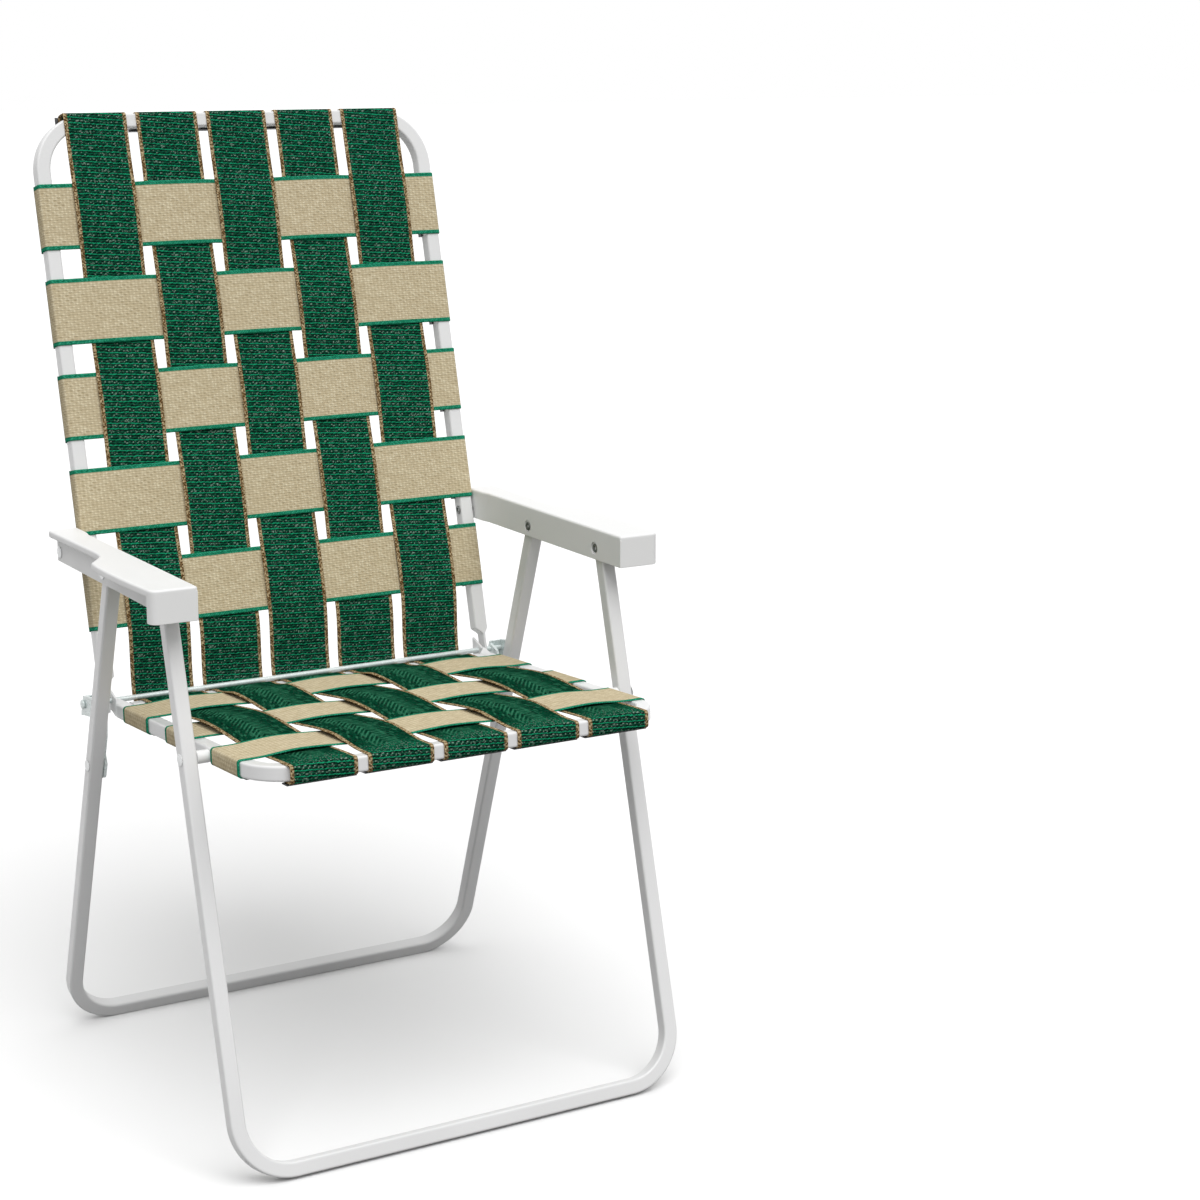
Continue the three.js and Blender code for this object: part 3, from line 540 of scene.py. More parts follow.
def tan_webbing():
    """A soft basket weave with green selvedges, painted shade in its hollows and painted highlights on
    its raised knots.
    """
    shader = Shader(bpy.data.materials.new("tan_webbing"))
    across, along = strap_coordinates(shader)
    side = across.size()
    drift = shader.noise(shader.combine(across, along), DRIFT_SCALE, DRIFT_DETAIL).centred() * TAN_DRIFT
    x = across + drift
    y = along - drift
    slope = x / KNOT_ACROSS - y / (2 * KNOT_ALONG)
    knot = (y.wave(KNOT_ALONG) * TONE_ALONG + slope.wave(1) * TONE_SLOPE
            + x.wave(KNOT_ACROSS / 2) * TONE_ACROSS)
    cell = shader.random(y.cell(KNOT_ALONG), x.cell(KNOT_ACROSS / 2)).centred()
    fibre = shader.noise(shader.combine(across, along * FIBRE_ALONG), FIBRE_SCALE, FIBRE_DETAIL,
                         YARN_ROUGH).centred()
    tone = knot + cell * TONE_CELL + fibre * TONE_FIBRE
    # Colour follows the weave's height: painted shade in the hollows and painted highlights on the
    # raised knots, over the yarn's own random tone
    woven = shader.mix(tone.ramp(*BODY_TO_SHADE), TAN_BODY, TAN_HOLLOW_SHADE)
    woven = shader.mix(tone.ramp(*BODY_TO_HIGHLIGHT), woven, TAN_HIGHLIGHT)
    twist = (along + side).wave(TWIST_PITCH)
    shine = twist.ramp(*TWIST_SHINE) * knotted(shader, along, side, SELVEDGE_KNOT)
    green = shader.mix(shine, EDGE_GREEN, EDGE_GREEN_LIGHT)
    edge = selvedge_share(side, TAN_EDGE)
    return finish_webbing(shader, edge, woven, green, tone + twist * (edge * RELIEF_TWIST))


# Hard materials

MOTTLE = (0.3, 0.7)
PATCH_DETAIL = 3.0
GRAIN_STRENGTH = 0.5


def hard_finish(name, cloud, colours, rough, grain, depth, patches=None, mottle=MOTTLE, inside=None,
                **more):
    """Clouded colour, patchy roughness and a fine grain. cloud is a noise's scale, detail and roughness;
    patches and grain are scales; inside is the colours of what lies between the lock links."""
    shader = Shader(bpy.data.materials.new(name))
    spot = shader.node("ShaderNodeTexCoord").outputs["Object"]
    clouds = shader.noise(spot, *cloud)
    colour = shader.mix(clouds.ramp(*mottle), *colours)
    if inside:
        outside = shader.parts(spot)[0].size().ramp(LINK_OUTER_X - LINK_PLATE, LINK_OUTER_X)
        colour = shader.mix(outside, shader.mix(clouds.ramp(*mottle), *inside), colour)
    worn = shader.noise(spot, patches, PATCH_DETAIL) if patches else clouds
    shader.set(Base_Color=colour, Roughness=worn.ramp(*MOTTLE, *rough), **more)
    shader.bump(shader.noise(spot, grain), depth, GRAIN_STRENGTH)
    return shader.owner


MATERIALS = {
    "frame_steel": hard_finish(
        "powder_coat", cloud=(6.0, 2.0), colours=((0.80, 0.80, 0.80), (0.84, 0.84, 0.84)), patches=30.0,
        rough=(0.28, 0.38), grain=700.0, depth=0.00006, Coat_Weight=0.15),
    "white_plastic": hard_finish(
        "moulded_plastic", cloud=(5.0, 2.0), colours=((0.85, 0.85, 0.845), (0.875, 0.875, 0.87)),
        patches=40.0, rough=(0.42, 0.52), grain=1100.0, depth=0.00005),
    "zinc_steel": hard_finish(
        "zinc_plate", cloud=(60.0, 4.0, 0.6), colours=((0.70, 0.76, 0.75), (0.76, 0.83, 0.82)),
        patches=150.0, rough=(0.2, 0.32), grain=700.0, depth=0.00001, Metallic=0.2),
    "rivet_steel": hard_finish(
        "rivet_steel", cloud=(60.0, 4.0, 0.6), colours=((0.70, 0.71, 0.71), (0.78, 0.79, 0.79)),
        inside=((0.10, 0.11, 0.105), (0.20, 0.21, 0.20)), patches=150.0, rough=(0.26, 0.38),
        grain=700.0, depth=0.00003, Metallic=0.5),
    "webbing_green": green_webbing(),
    "webbing_tan": tan_webbing(),
    "clip_black": hard_finish(
        "black_coat", cloud=(90.0, 4.0, 0.6), colours=((0.011, 0.011, 0.012), (0.03, 0.03, 0.031)),
        mottle=(0.55, 0.8), rough=(0.35, 0.5), grain=900.0, depth=0.00004),
}


# Mesh helpers

def new_object(name, mesh, slot, body, nodes, sharp):
    """A finished piece: linked, shaded, painted, riding on its body and standing for its nodes."""
    made = in_scene(name, mesh)
    mesh.materials.append(MATERIALS[slot])
    mesh.shade_smooth()
    mesh.set_sharp_from_angle(angle=math.radians(sharp))
    if body:
        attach(made, body)
    if nodes:
        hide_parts(*nodes)
    return made


def mesh_of(name, points, faces, merge=0.0):
    mesh = bpy.data.meshes.new(name)
    mesh.from_pydata([tuple(point) for point in points], [], faces)
    mesh.validate()
    shape = bmesh.new()
    shape.from_mesh(mesh)
    if merge:
        bmesh.ops.remove_doubles(shape, verts=shape.verts, dist=merge)
    bmesh.ops.recalc_face_normals(shape, faces=shape.faces)
    shape.to_mesh(mesh)
    shape.free()
    return mesh


def applied(mesh, kind, **settings):
    """The mesh after a modifier of the given kind."""
    holder = in_scene("holder", mesh)
    modifier = holder.modifiers.new(kind.lower(), kind)
    for key, value in settings.items():
        setattr(modifier, key, value)
    depsgraph = bpy.context.evaluated_depsgraph_get()
    depsgraph.update()
    made = bpy.data.meshes.new_from_object(holder.evaluated_get(depsgraph))
    bpy.data.objects.remove(holder)
    return made


def combined(first, second, operation):
    """Boolean of two meshes."""
    tool = in_scene("tool", second)
    made = applied(first, "BOOLEAN", object=tool, operation=operation, solver="EXACT")
    bpy.data.objects.remove(tool)
    return made


def bevelled(mesh, width, steps, angle):
    return applied(mesh, "BEVEL", width=width, segments=steps, limit_method="ANGLE",
                   angle_limit=math.radians(angle), harden_normals=False)


def weighted(piece):
    """Weighted normals, so that flats stay flat beside their rounded edges."""
    piece.modifiers.new("normals", "WEIGHTED_NORMAL").keep_sharp = True


def placed(origin, lean):
    """A matrix whose origin is a pivot, turned about X."""
    return Matrix.Translation(origin) @ Matrix.Rotation(lean, 4, "X")


FRONT_LEG_ANGLE = math.atan2(FRONT_FOOT_Y - FRONT_PIVOT.y, FRONT_PIVOT.z - FOOT_HEIGHT)
REAR_LEG_ANGLE = math.atan2(REAR_FOOT_Y - REAR_PIVOT.y, REAR_PIVOT.z - FOOT_HEIGHT)
BACK_PLACE = placed(HINGE, -math.atan(BACK_LEAN))
SEAT_PLACE = placed(HINGE, -math.atan(SEAT_RISE))
FRONT_LEG_PLACE = placed(FRONT_PIVOT, FRONT_LEG_ANGLE)
REAR_LEG_PLACE = placed(REAR_PIVOT, REAR_LEG_ANGLE)
LINK_PLACE = placed(LINK_PIVOT, REAR_LEG_ANGLE)


def on_back(x, behind, up):
    """A point of the back: across, behind the middle of its tubes, and up from the hinge."""
    return BACK_PLACE @ Vector((x, BACK_BEHIND_HINGE + behind, up))


def on_seat(x, behind, up):
    """A point of the seat: across, behind the hinge, and up from the middle of its tubes."""
    return SEAT_PLACE @ Vector((x, behind, up - SEAT_BELOW_HINGE))


def arc(cx, cy, radius, start, end, steps=10):
    return [(cx + radius * math.cos(start + (end - start) * i / steps),
             cy + radius * math.sin(start + (end - start) * i / steps)) for i in range(steps + 1)]


def bridge(first, second, count):
    """Faces between two closed rings of points, given by their first numbers."""
    steps = [(i, (i + 1) % count) for i in range(count)]
    return [(first + i, first + j, second + j, second + i) for i, j in steps]


# Square tube

def rounded_section(width, depth, corner, shift_width=0.0, shift_depth=0.0):
    """Points round a rectangle with rounded corners and a support point beside each corner."""
    points = []
    support = min(CORNER_SUPPORT, (width / 2 - corner) / 2, (depth / 2 - corner) / 2)
    for quarter in range(4):
        cx = (1 if quarter in (0, 3) else -1) * (width / 2 - corner)
        cy = (1 if quarter < 2 else -1) * (depth / 2 - corner)
        for step in range(-1, CORNER_STEPS + 2):
            turned = min(max(step / CORNER_STEPS, 0), 1)
            angle = (quarter + turned) * math.pi / 2
            x = cx + corner * math.cos(angle)
            y = cy + corner * math.sin(angle)
            beside = 1 if step < 0 else -1 if step > CORNER_STEPS else 0
            x += beside * support * math.sin(angle)
            y -= beside * support * math.cos(angle)
            points.append((shift_width + x, shift_depth + y))
    return points


def tube_rings(width, depth, corner, shift_width=0.0, shift_depth=0.0, bore=None):
    """Outer and inner ring of one cross-section."""
    bore_width = width - 2 * TUBE_WALL if bore is None else bore
    bore_depth = depth - 2 * TUBE_WALL
    inner_corner = min(corner / 2, bore_width / 3)
    return (rounded_section(width, depth, corner, shift_width, shift_depth),
            rounded_section(bore_width, bore_depth, inner_corner, shift_width, shift_depth))


SQUARE = tube_rings(TUBE, TUBE, TUBE_CORNER)


def smooth_share(share):
    return share * share * (3 - 2 * share)


def crushed(width, depth, corner, shift_width, shift_depth, share):
    """The section on the way from the flat tab, share 0, to the square tube, share 1."""
    def between(flat, full):
        return flat + (full - flat) * share
    return tube_rings(between(width, TUBE), between(depth, TUBE), between(corner, TUBE_CORNER),
                      between(shift_width, 0), between(shift_depth, 0),
                      between(TAB_SLIT, TUBE - 2 * TUBE_WALL))


def u_stations(half_width, length, radius, ends):
    """Stations of a U in its own plane: (u, v), the outward direction there and the section."""
    span = half_width - HALF
    stations = [(-span, v, -1, 0, rings) for v, rings in ends]
    for side, start in ((-1, math.pi), (1, math.pi / 2)):
        for nu, nv in arc(0, 0, 1, start, start - math.pi / 2, BEND_STEPS):
            stations.append((side * (span - radius) + radius * nu,
                             length - radius + radius * nv, nu, nv, SQUARE))
    return stations + [(span, v, 1, 0, rings) for v, rings in reversed(ends)]


def lofted(name, stations, place):
    """Hollow tube through the stations; place puts (u, v, w) on the chair."""
    count = len(SQUARE[0])
    points = []
    for u, v, nu, nv, (outer, inner) in stations:
        points += [place(u + nu * x, v + nv * x, y) for x, y in outer + inner]
    ring = 2 * count
    last = len(points) - ring
    faces = bridge(count, 0, count) + bridge(last, last + count, count)
    for start in range(0, last, ring):
        faces += bridge(start, start + ring, count)
        faces += bridge(start + ring + count, start + count, count)
    return mesh_of(name, points, faces)


def neck(root, top, section):
    """Ends of a U from the flat tab's root to the full tube; section gives the rings for a share."""
    shares = [step / NECK_STEPS for step in range(NECK_STEPS + 1)]
    return [(root + (top - root) * share, section(smooth_share(share))) for share in shares]


def leg_frame(name, body, place, pivot, foot_y):
    length = math.hypot(foot_y - pivot.y, pivot.z - FOOT_HEIGHT)
    stations = u_stations(LEG_HALF_WIDTH, length, LEG_BEND, [(-LEG_TOP_REACH, SQUARE)])
    mesh = lofted(name, stations, lambda u, v, w: place @ Vector((u, w, -v)))
    weighted(new_object("bent_" + name, mesh, "frame_steel", body, [name], SHARP_ROUND))


def back_frame():
    def flat(depth, share=0.0):
        return crushed(TAB_THICKNESS, depth, TAB_CORNER, BACK_TAB_OFFSET, 0, share)
    ends = [(-BACK_TAB_TIP, flat(BACK_TAB_TIP_DEPTH)),
            (BACK_TAB_EASE - BACK_TAB_TIP, flat((BACK_TAB_TIP_DEPTH + BACK_TAB_DEPTH) / 2)),
            (BACK_TAB_ROUND - BACK_TAB_TIP, flat(BACK_TAB_DEPTH)),
            (BACK_TAB_ROOT - BACK_TAB_ROUND, flat(BACK_TAB_DEPTH))]
    ends += neck(BACK_TAB_ROOT, BACK_NECK_TOP, lambda share: flat(BACK_TAB_DEPTH, share))
    stations = u_stations(BACK_HALF_WIDTH, BACK_LENGTH, BACK_BEND, ends)
    mesh = lofted("back_frame", stations, lambda u, v, w: on_back(u, w, v))
    weighted(new_object("bent_back_frame", mesh, "frame_steel", "back", ["back_frame"], SHARP_CRUSHED))


def seat_frame():
    def flat(raised, share=0.0, height=SEAT_TAB_HEIGHT):
        return crushed(TAB_THICKNESS, height, TAB_CORNER, SEAT_TAB_OFFSET, raised, share)
    ends = [(-SEAT_TAB_TIP, flat(SEAT_TAB_TIP_RAISE, height=SEAT_TAB_TIP_HEIGHT)),
            (0, flat((SEAT_TAB_TIP_RAISE + SEAT_TAB_RAISE) / 2)),
            (SEAT_TAB_ROOT - SEAT_TAB_EASE, flat(SEAT_TAB_RAISE))]
    ends += neck(SEAT_TAB_ROOT, SEAT_NECK_FRONT, lambda share: flat(SEAT_TAB_RAISE, share))
    stations = u_stations(SEAT_HALF_WIDTH, SEAT_LENGTH, SEAT_BEND, ends)

    def place(u, v, w):
        return on_seat(u, -v, w)
    mesh = lofted("seat_frame", stations, place)
    weighted(new_object("bent_seat_frame", mesh, "frame_steel", "seat", ["seat_frame"], SHARP_CRUSHED))
    reach = SEAT_HALF_WIDTH - TUBE - GAP
    bar = [(u, SEAT_CROSSBAR_REACH, 0, 1, SQUARE) for u in (-reach, reach)]
    mesh = lofted("seat_crossbar", bar, place)
    weighted(new_object("cut_seat_crossbar", mesh, "frame_steel", "seat", ["seat_rear_crossbar"],
                        SHARP_ROUND))


# Turned pieces along X

def turned(name, profile, y, z, sign=1):
    """A profile of (x, radius) points turned about the X axis through (y, z)."""
    points = [(sign * x, a, b) for x, radius in profile for a, b in disc_outline(y, z, radius)]
    faces = []
    closed = profile[0][1] > 0
    rings = len(profile)
    for ring in range(rings if closed else rings - 1):
        faces += bridge(ring * ROUND_STEPS, (ring + 1) % rings * ROUND_STEPS, ROUND_STEPS)
    return mesh_of(name, points, faces, MERGE_DISTANCE)


def rivet_profile(head_x, tail_x, tail_radius):
    """Hollow tail inside, shank, and a domed head outside."""
    formed = tail_radius > RIVET_SHANK
    end = tail_x - (RIVET_TAIL_HEIGHT if formed else 0)
    profile = [(end + RIVET_HOLLOW_DEPTH, 0), (end + RIVET_HOLLOW_DEPTH, RIVET_HOLLOW),
               (end + RIVET_SOFT, RIVET_HOLLOW), (end, RIVET_HOLLOW + RIVET_SOFT)]
    if formed:
        roll = RIVET_TAIL_HEIGHT / 2
        profile += arc(tail_x - roll, tail_radius - roll, roll, math.pi, 0, ROLL_STEPS)
    else:
        profile.append((end, tail_radius))
    profile += [(tail_x, RIVET_SHANK), (head_x, RIVET_SHANK), (head_x, RIVET_HEAD - RIVET_SOFT / 2)]
    dome = RIVET_HEAD_HEIGHT - RIVET_SOFT
    return profile + [(head_x + RIVET_SOFT + dome * up, RIVET_HEAD * out)
                      for out, up in arc(0, 0, 1, 0, math.pi / 2, DOME_STEPS)]


def add_rivets(kind, body, place, head_x, tail_x, tail_radius):
    for side, sign in LEFT_RIGHT:
        node = f"{kind}_{side}"
        mesh = turned(node, rivet_profile(head_x, tail_x, tail_radius), place.y, place.z, sign)
        new_object("domed_" + node, mesh, "rivet_steel", body, [node], SHARP_ROUND)


def add_spacers():
    inner = SEAT_HALF_WIDTH + GAP
    outer = LEG_HALF_WIDTH - TUBE - GAP
    bore = RIVET_SHANK + GAP
    rim = SPACER_RADIUS - SPACER_EDGE
    profile = [(inner, bore), (inner, rim), (inner + SPACER_EDGE, SPACER_RADIUS),
               (outer - SPACER_EDGE, SPACER_RADIUS), (outer, rim), (outer, bore)]
    for side, sign in LEFT_RIGHT:
        node = f"seat_spacer_{side}"
        mesh = turned(node, profile, SEAT_PIVOT.y, SEAT_PIVOT.z, sign)
        new_object("turned_" + node, mesh, "white_plastic", "front_legs", [node], SHARP_SPACER)


def add_rod():
    seat = LINK_OUTER_X + GAP
    soft = KNOB_LENGTH / 3
    tip = seat + KNOB_LENGTH
    end = [(seat, ROD_RADIUS), (seat, KNOB_RADIUS - soft / 2), (seat + soft / 2, KNOB_RADIUS),
           (tip - soft, KNOB_RADIUS), (tip - soft / 3, KNOB_RADIUS - soft / 2),
           (tip, KNOB_RADIUS - 1.5 * soft), (tip, 0)]
    profile = [(-x, radius) for x, radius in reversed(end)] + end
    mesh = turned("hinge_rod", profile, HINGE.y, HINGE.z)
    new_object("polished_hinge_rod", mesh, "zinc_steel", "back", ["hinge_rod"], SHARP_ROUND)


# Plates

def prism(name, outline, low, high, place):
    """An outline of (a, b) points extruded from low to high; place puts (a, b, c) on the chair."""
    count = len(outline)
    points = [place(a, b, c) for c in (low, high) for a, b in outline]
    ends = [tuple(reversed(range(count))), tuple(range(count, 2 * count))]
    return mesh_of(name, points, ends + bridge(0, count, count))


def disc_outline(a, b, radius):
    return arc(a, b, radius, 0, TWO_PI, ROUND_STEPS)[:-1]


# The rounded corner of a link's ear: points behind and below its corner, as shares of the cut
LINK_EAR_CORNER = ((1, 0.5), (1 / 3, 0.9), (0, 1.6))


def add_links():
    rod = LINK_PLACE.inverted() @ HINGE
    head_bottom = rod.z - LINK_HEAD_BELOW_ROD
    head_top = rod.z + LINK_HEAD_ABOVE_ROD
    cheek_top = rod.z + LINK_CHEEK_ABOVE_ROD
    head_rear = rod.y + LINK_BEHIND_ROD
    ear_front = HALF + GAP
    cheek = arc(0, -LINK_BELOW_PIVOT, LINK_BAR_HALF, math.pi, TWO_PI, LINK_ROUND_STEPS) + [
        (LINK_BAR_HALF, head_bottom - LINK_FILLET), (LINK_BAR_HALF + LINK_FILLET, head_bottom),
        (head_rear, head_bottom), (head_rear, cheek_top), (LINK_BAR_HALF + LINK_SHOULDER, cheek_top),
        (LINK_HEAD_FRONT, head_bottom + LINK_SHOULDER), (-LINK_BAR_FRONT, head_bottom - LINK_SHOULDER),
        (-LINK_BAR_FRONT, LINK_BOSS_TOP + LINK_SHOULDER), (-LINK_BAR_HALF, LINK_BOSS_TOP)]
    front, rear = head_rear - LINK_WEB, head_rear - JOIN_INSET
    low, high = head_bottom + JOIN_INSET, head_top - JOIN_INSET
    web = [(front, low), (rear, low), (rear, high), (front, high)]
    rise = (head_rear - ear_front) * LINK_EAR_SLOPE
    ear = [(ear_front, head_bottom + rise), (head_rear, head_bottom), (head_rear, head_top)]
    ear += [(ear_front + behind * LINK_EAR_CUT, head_top + rise - below * LINK_EAR_CUT)
            for behind, below in LINK_EAR_CORNER]
    for side, sign in LEFT_RIGHT:
        def place(a, b, c):
            return LINK_PLACE @ Vector((sign * c, a, b))
        node = f"lock_link_{side}"
        body = prism(node, cheek, LINK_INNER_X, LINK_INNER_X + LINK_PLATE, place)
        for outline, inner, outer in ((web, LINK_INNER_X + JOIN_INSET, LINK_OUTER_X - JOIN_INSET),
                                      (ear, LINK_OUTER_X - LINK_PLATE, LINK_OUTER_X)):
            body = combined(body, prism(node, outline, inner, outer, place), "UNION")
        body = bevelled(body, *LINK_BEVEL)
        eye = prism(node, disc_outline(0, 0, LINK_EYE), LINK_INNER_X - LINK_EYE_HEIGHT,
                    LINK_INNER_X + LINK_PLATE / 2, place)
        body = combined(body, eye, "UNION")
        bore = prism(node, disc_outline(rod.y, rod.z, ROD_RADIUS + GAP), BORE_FROM_X,
                     LINK_OUTER_X + CUT_PAST, place)
        body = combined(body, bore, "DIFFERENCE")
        weighted(new_object("folded_" + node, body, "zinc_steel", "lock_links", [node], SHARP_PLATE))


# Webbing

def green_over(column, row, seated):
    """Whether the green strap lies on top at a crossing; the two panels start the other way round."""
    return (column + row) % 2 == int(seated)


def hermite(s0, h0, slope0, s1, h1, slope1):
    """Points of a smooth rise between two places, without its first."""
    span = s1 - s0
    steps = max(2, round(abs(span) / STRAP_STEP))
    points = []
    for step in range(1, steps + 1):
        t = step / steps
        h = ((2 * t ** 3 - 3 * t ** 2 + 1) * h0 + (t ** 3 - 2 * t ** 2 + t) * span * slope0
             + (3 * t ** 2 - 2 * t ** 3) * h1 + (t ** 3 - t ** 2) * span * slope1)
        points.append((s0 + t * span, h))
    return points


def wrap(edge):
    """Round a tube's outer edge: from its near face to the tail on its far face."""
    centre = edge - TUBE_CORNER
    corner = HALF - TUBE_CORNER
    return (arc(centre, corner, WRAP_RADIUS, math.pi / 2, 0, CORNER_STEPS)
            + arc(centre, -corner, WRAP_RADIUS, 0, -math.pi / 2, CORNER_STEPS)
            + [(edge - STRAP_TAIL / 2, -STRAP_LOW), (edge - STRAP_TAIL, -STRAP_LOW)])


def woven(start, end, centres, is_over, crown, dip):
    """The strap's height from start to end, over and under what it crosses."""
    points = [start]
    slope = 0.0
    steps = round(STRAP_WIDTH / STRAP_STEP)
    for place, centre in enumerate(centres):
        over = is_over(place)
        arch = crown if over else -dip
        level = STRAP_HIGH if over else STRAP_LOW
        edge_slope = 2 * arch / STRAP_HALF
        s, h = points[-1]
        points += hermite(s, h, slope, centre - STRAP_HALF, level, edge_slope)
        for step in range(1, steps + 1):
            share = 2 * step / steps - 1
            points.append((centre + share * STRAP_HALF, level + arch * (1 - share * share)))
        slope = -edge_slope
    s, h = points[-1]
    return points + hermite(s, h, slope, end[0], end[1], 0.0)


def arched(start, end, centres, is_over, crown, dip):
    """A loose strap: one smooth wave through its crests and dips."""
    levels = [STRAP_HIGH + crown if is_over(place) else STRAP_LOW - dip for place in range(len(centres))]
    points = [start]
    for s, h in [*zip(centres, levels), end]:
        s0, h0 = points[-1]
        points += hermite(s0, h0, 0.0, s, h, 0.0)
    return points


def across_path(half_width, is_over, crown, dip, shape):
    right = wrap(half_width)
    left = [(-s, h) for s, h in reversed(right)]
    inner = half_width - TUBE
    middle = shape((-inner, STRAP_LOW), (inner, STRAP_LOW), COLUMNS, is_over, crown, dip)
    return left + middle + right


# Across a strap: place as a share of its half width, and thickness as a share of its own
STRAP_SECTION_SHARES = [
    (1.0, 0.0), (0.994, 0.7), (0.98, 1.12), (0.95, 1.2), (0.905, 1.12), (0.885, 0.95), (0.84, 1.0),
    (0.6, 1.0), (0.3, 1.0), (0.0, 1.0)]


def strap_section():
    """Top points from one edge to the other, with the two edge points."""
    right = [(share * STRAP_HALF, thick * STRAP_THICKNESS / 2) for share, thick in STRAP_SECTION_SHARES]
    left = [(-u, thick) for u, thick in right]
    return left + right[-2::-1]


def normals_along(points, across):
    """Unit normals of a path, square to the strap's width and on the sitter's side."""
    ends = [points[0], *points, points[-1]]
    return [(after - before).cross(across).normalized() for before, after in zip(ends, ends[2:])]


def ribbon(name, points, across, seat_shares):
    """A strap along 3-D points: thin, with rounded selvedges, and with coordinates for its weave."""
    top = strap_section()
    section = top + [(u, -h) for u, h in top[-2:0:-1]]
    ring = len(section)
    verts = []
    marks = []
    along = 0.0
    for i, (point, normal) in enumerate(zip(points, normals_along(points, across))):
        along += (point - points[max(i - 1, 0)]).length
        verts += [point + across * u + normal * h for u, h in section]
        marks += [(u * MM, along * MM) for u, h in section]
    last = len(verts) - ring
    faces = []
    for start in range(0, last, ring):
        faces += bridge(start, start + ring, ring)
    for start, turn in ((0, False), (last, True)):
        for i in range(len(top) - 1):
            upper = (start + i, start + i + 1)
            lower = tuple(start + (ring - k) % ring for k in (i + 1, i))
            face = tuple(dict.fromkeys((*upper, *lower)))
            faces.append(face[::-1] if turn else face)
    mesh = mesh_of(name, verts, faces)
    layer = mesh.uv_layers.new(name="strap")
    for loop in mesh.loops:
        layer.data[loop.index].uv = marks[loop.vertex_index]
    share = mesh.attributes.new("seat_share", "FLOAT", "POINT")
    share.data.foreach_set("value", [value for value in seat_shares for _ in range(ring)])
    return mesh


def add_cross_straps(body, rows, half_width, crown, dip, shape, place, across):
    """The tan straps of one panel; place takes a point's side, height over the tubes' middle and row."""
    seated = body == "seat"
    for row, v in enumerate(rows):
        path = across_path(half_width, lambda column: not green_over(column, row, seated),
                           crown, dip, shape)
        points = [place(s, h, v) for s, h in path]
        node = f"{body}_cross_strap_{row + 1}"
        mesh = ribbon(node, points, across, [float(seated)] * len(points))
        new_object("woven_" + node, mesh, "webbing_tan", body, [node], SHARP_WEBBING)


def long_path(column):
    """One strap from its tail behind the top tube, down the back, behind the hinge rod and over
    the seat to its tail under the front tube. Returns points and their share of seat."""
    top = wrap(BACK_LENGTH + HALF)[::-1]
    rows = [BACK_LENGTH - v for v in BACK_ROWS]
    rod_height = BACK_BEHIND_HINGE - ROD_WRAP
    down = woven((HALF, STRAP_LOW), (BACK_LENGTH, rod_height), rows,
                 lambda row: green_over(column, row, False), BACK_CROWN, BACK_DIP)
    back = top + [(BACK_LENGTH - s, h) for s, h in down]
    points = [on_back(0, -h, s) for s, h in back]
    shares = [0.0] * len(points)
    lean = math.atan(BACK_LEAN)
    turn = math.pi / 2 + lean - math.atan(SEAT_RISE)
    for step in range(1, ROD_STEPS + 1):
        angle = lean + turn * step / ROD_STEPS
        points.append(HINGE + Vector((0, ROD_WRAP * math.cos(angle), -ROD_WRAP * math.sin(angle))))
        shares.append(step / ROD_STEPS)
    on_bar = SEAT_CROSSBAR_REACH - HALF + TUBE_CORNER
    seat = hermite(OFF_ROD, SEAT_BELOW_HINGE - ROD_WRAP, 0.0, on_bar, STRAP_LOW, BAR_SLOPE)
    seat += hermite(on_bar, STRAP_LOW, BAR_SLOPE, SEAT_CROSSBAR_REACH + HALF, STRAP_LOW + BAR_CREST, 0.0)
    seat += arched(seat[-1], (SEAT_LENGTH - HALF, STRAP_LOW), SEAT_ROWS,
                   lambda row: green_over(column, row, True), SEAT_LONG_CROWN, SEAT_LONG_DIP)[1:]
    seat += wrap(SEAT_LENGTH + HALF)
    points += [on_seat(0, -s, h) for s, h in seat]
    front = SEAT_LENGTH - HALF
    # The seat share fades the painted seat shade and sheen out towards the front tube
    shares += [min(max((front - s) / SEAT_SHEEN_FADE, 0.0), 1.0) for s, h in seat]
    return points, shares


def add_long_straps():
    for column, x in enumerate(COLUMNS):
        points, shares = long_path(column)
        points = [point + X_AXIS * x for point in points]
        name = f"long_strap_{column + 1}"
        mesh = ribbon(name, points, -X_AXIS, shares)
        strap = new_object("woven_" + name, mesh, "webbing_green", None, (), SHARP_WEBBING)
        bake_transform(strap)
        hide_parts(f"back_long_strap_{column + 1}", f"seat_long_strap_{column + 1}")


# Clips

def add_clip(name, body, nodes, span, run, room, place, inset=0.0):
    """A steel angle: a plate on the strap's tail, and a lip round the tube's inner edge where the tube
    runs straight."""
    back = HALF + room
    hook = HALF + GAP
    top = back + CLIP_THICKNESS

    def block(low, high, a0, a1, b0):
        return prism(name, [(a0, b0), (a1, b0), (a1, top), (a0, top)], low, high, place)
    plate = block(*span, inset - HALF, hook + CLIP_THICKNESS, back)
    lip = block(max(span[0], run[0]), min(span[1], run[1]), hook, hook + CLIP_THICKNESS, HALF - CLIP_LIP)
    mesh = bevelled(combined(plate, lip, "UNION"), *CLIP_BEVEL)
    new_object("pressed_" + name, mesh, "clip_black", body, nodes, SHARP_PLATE)


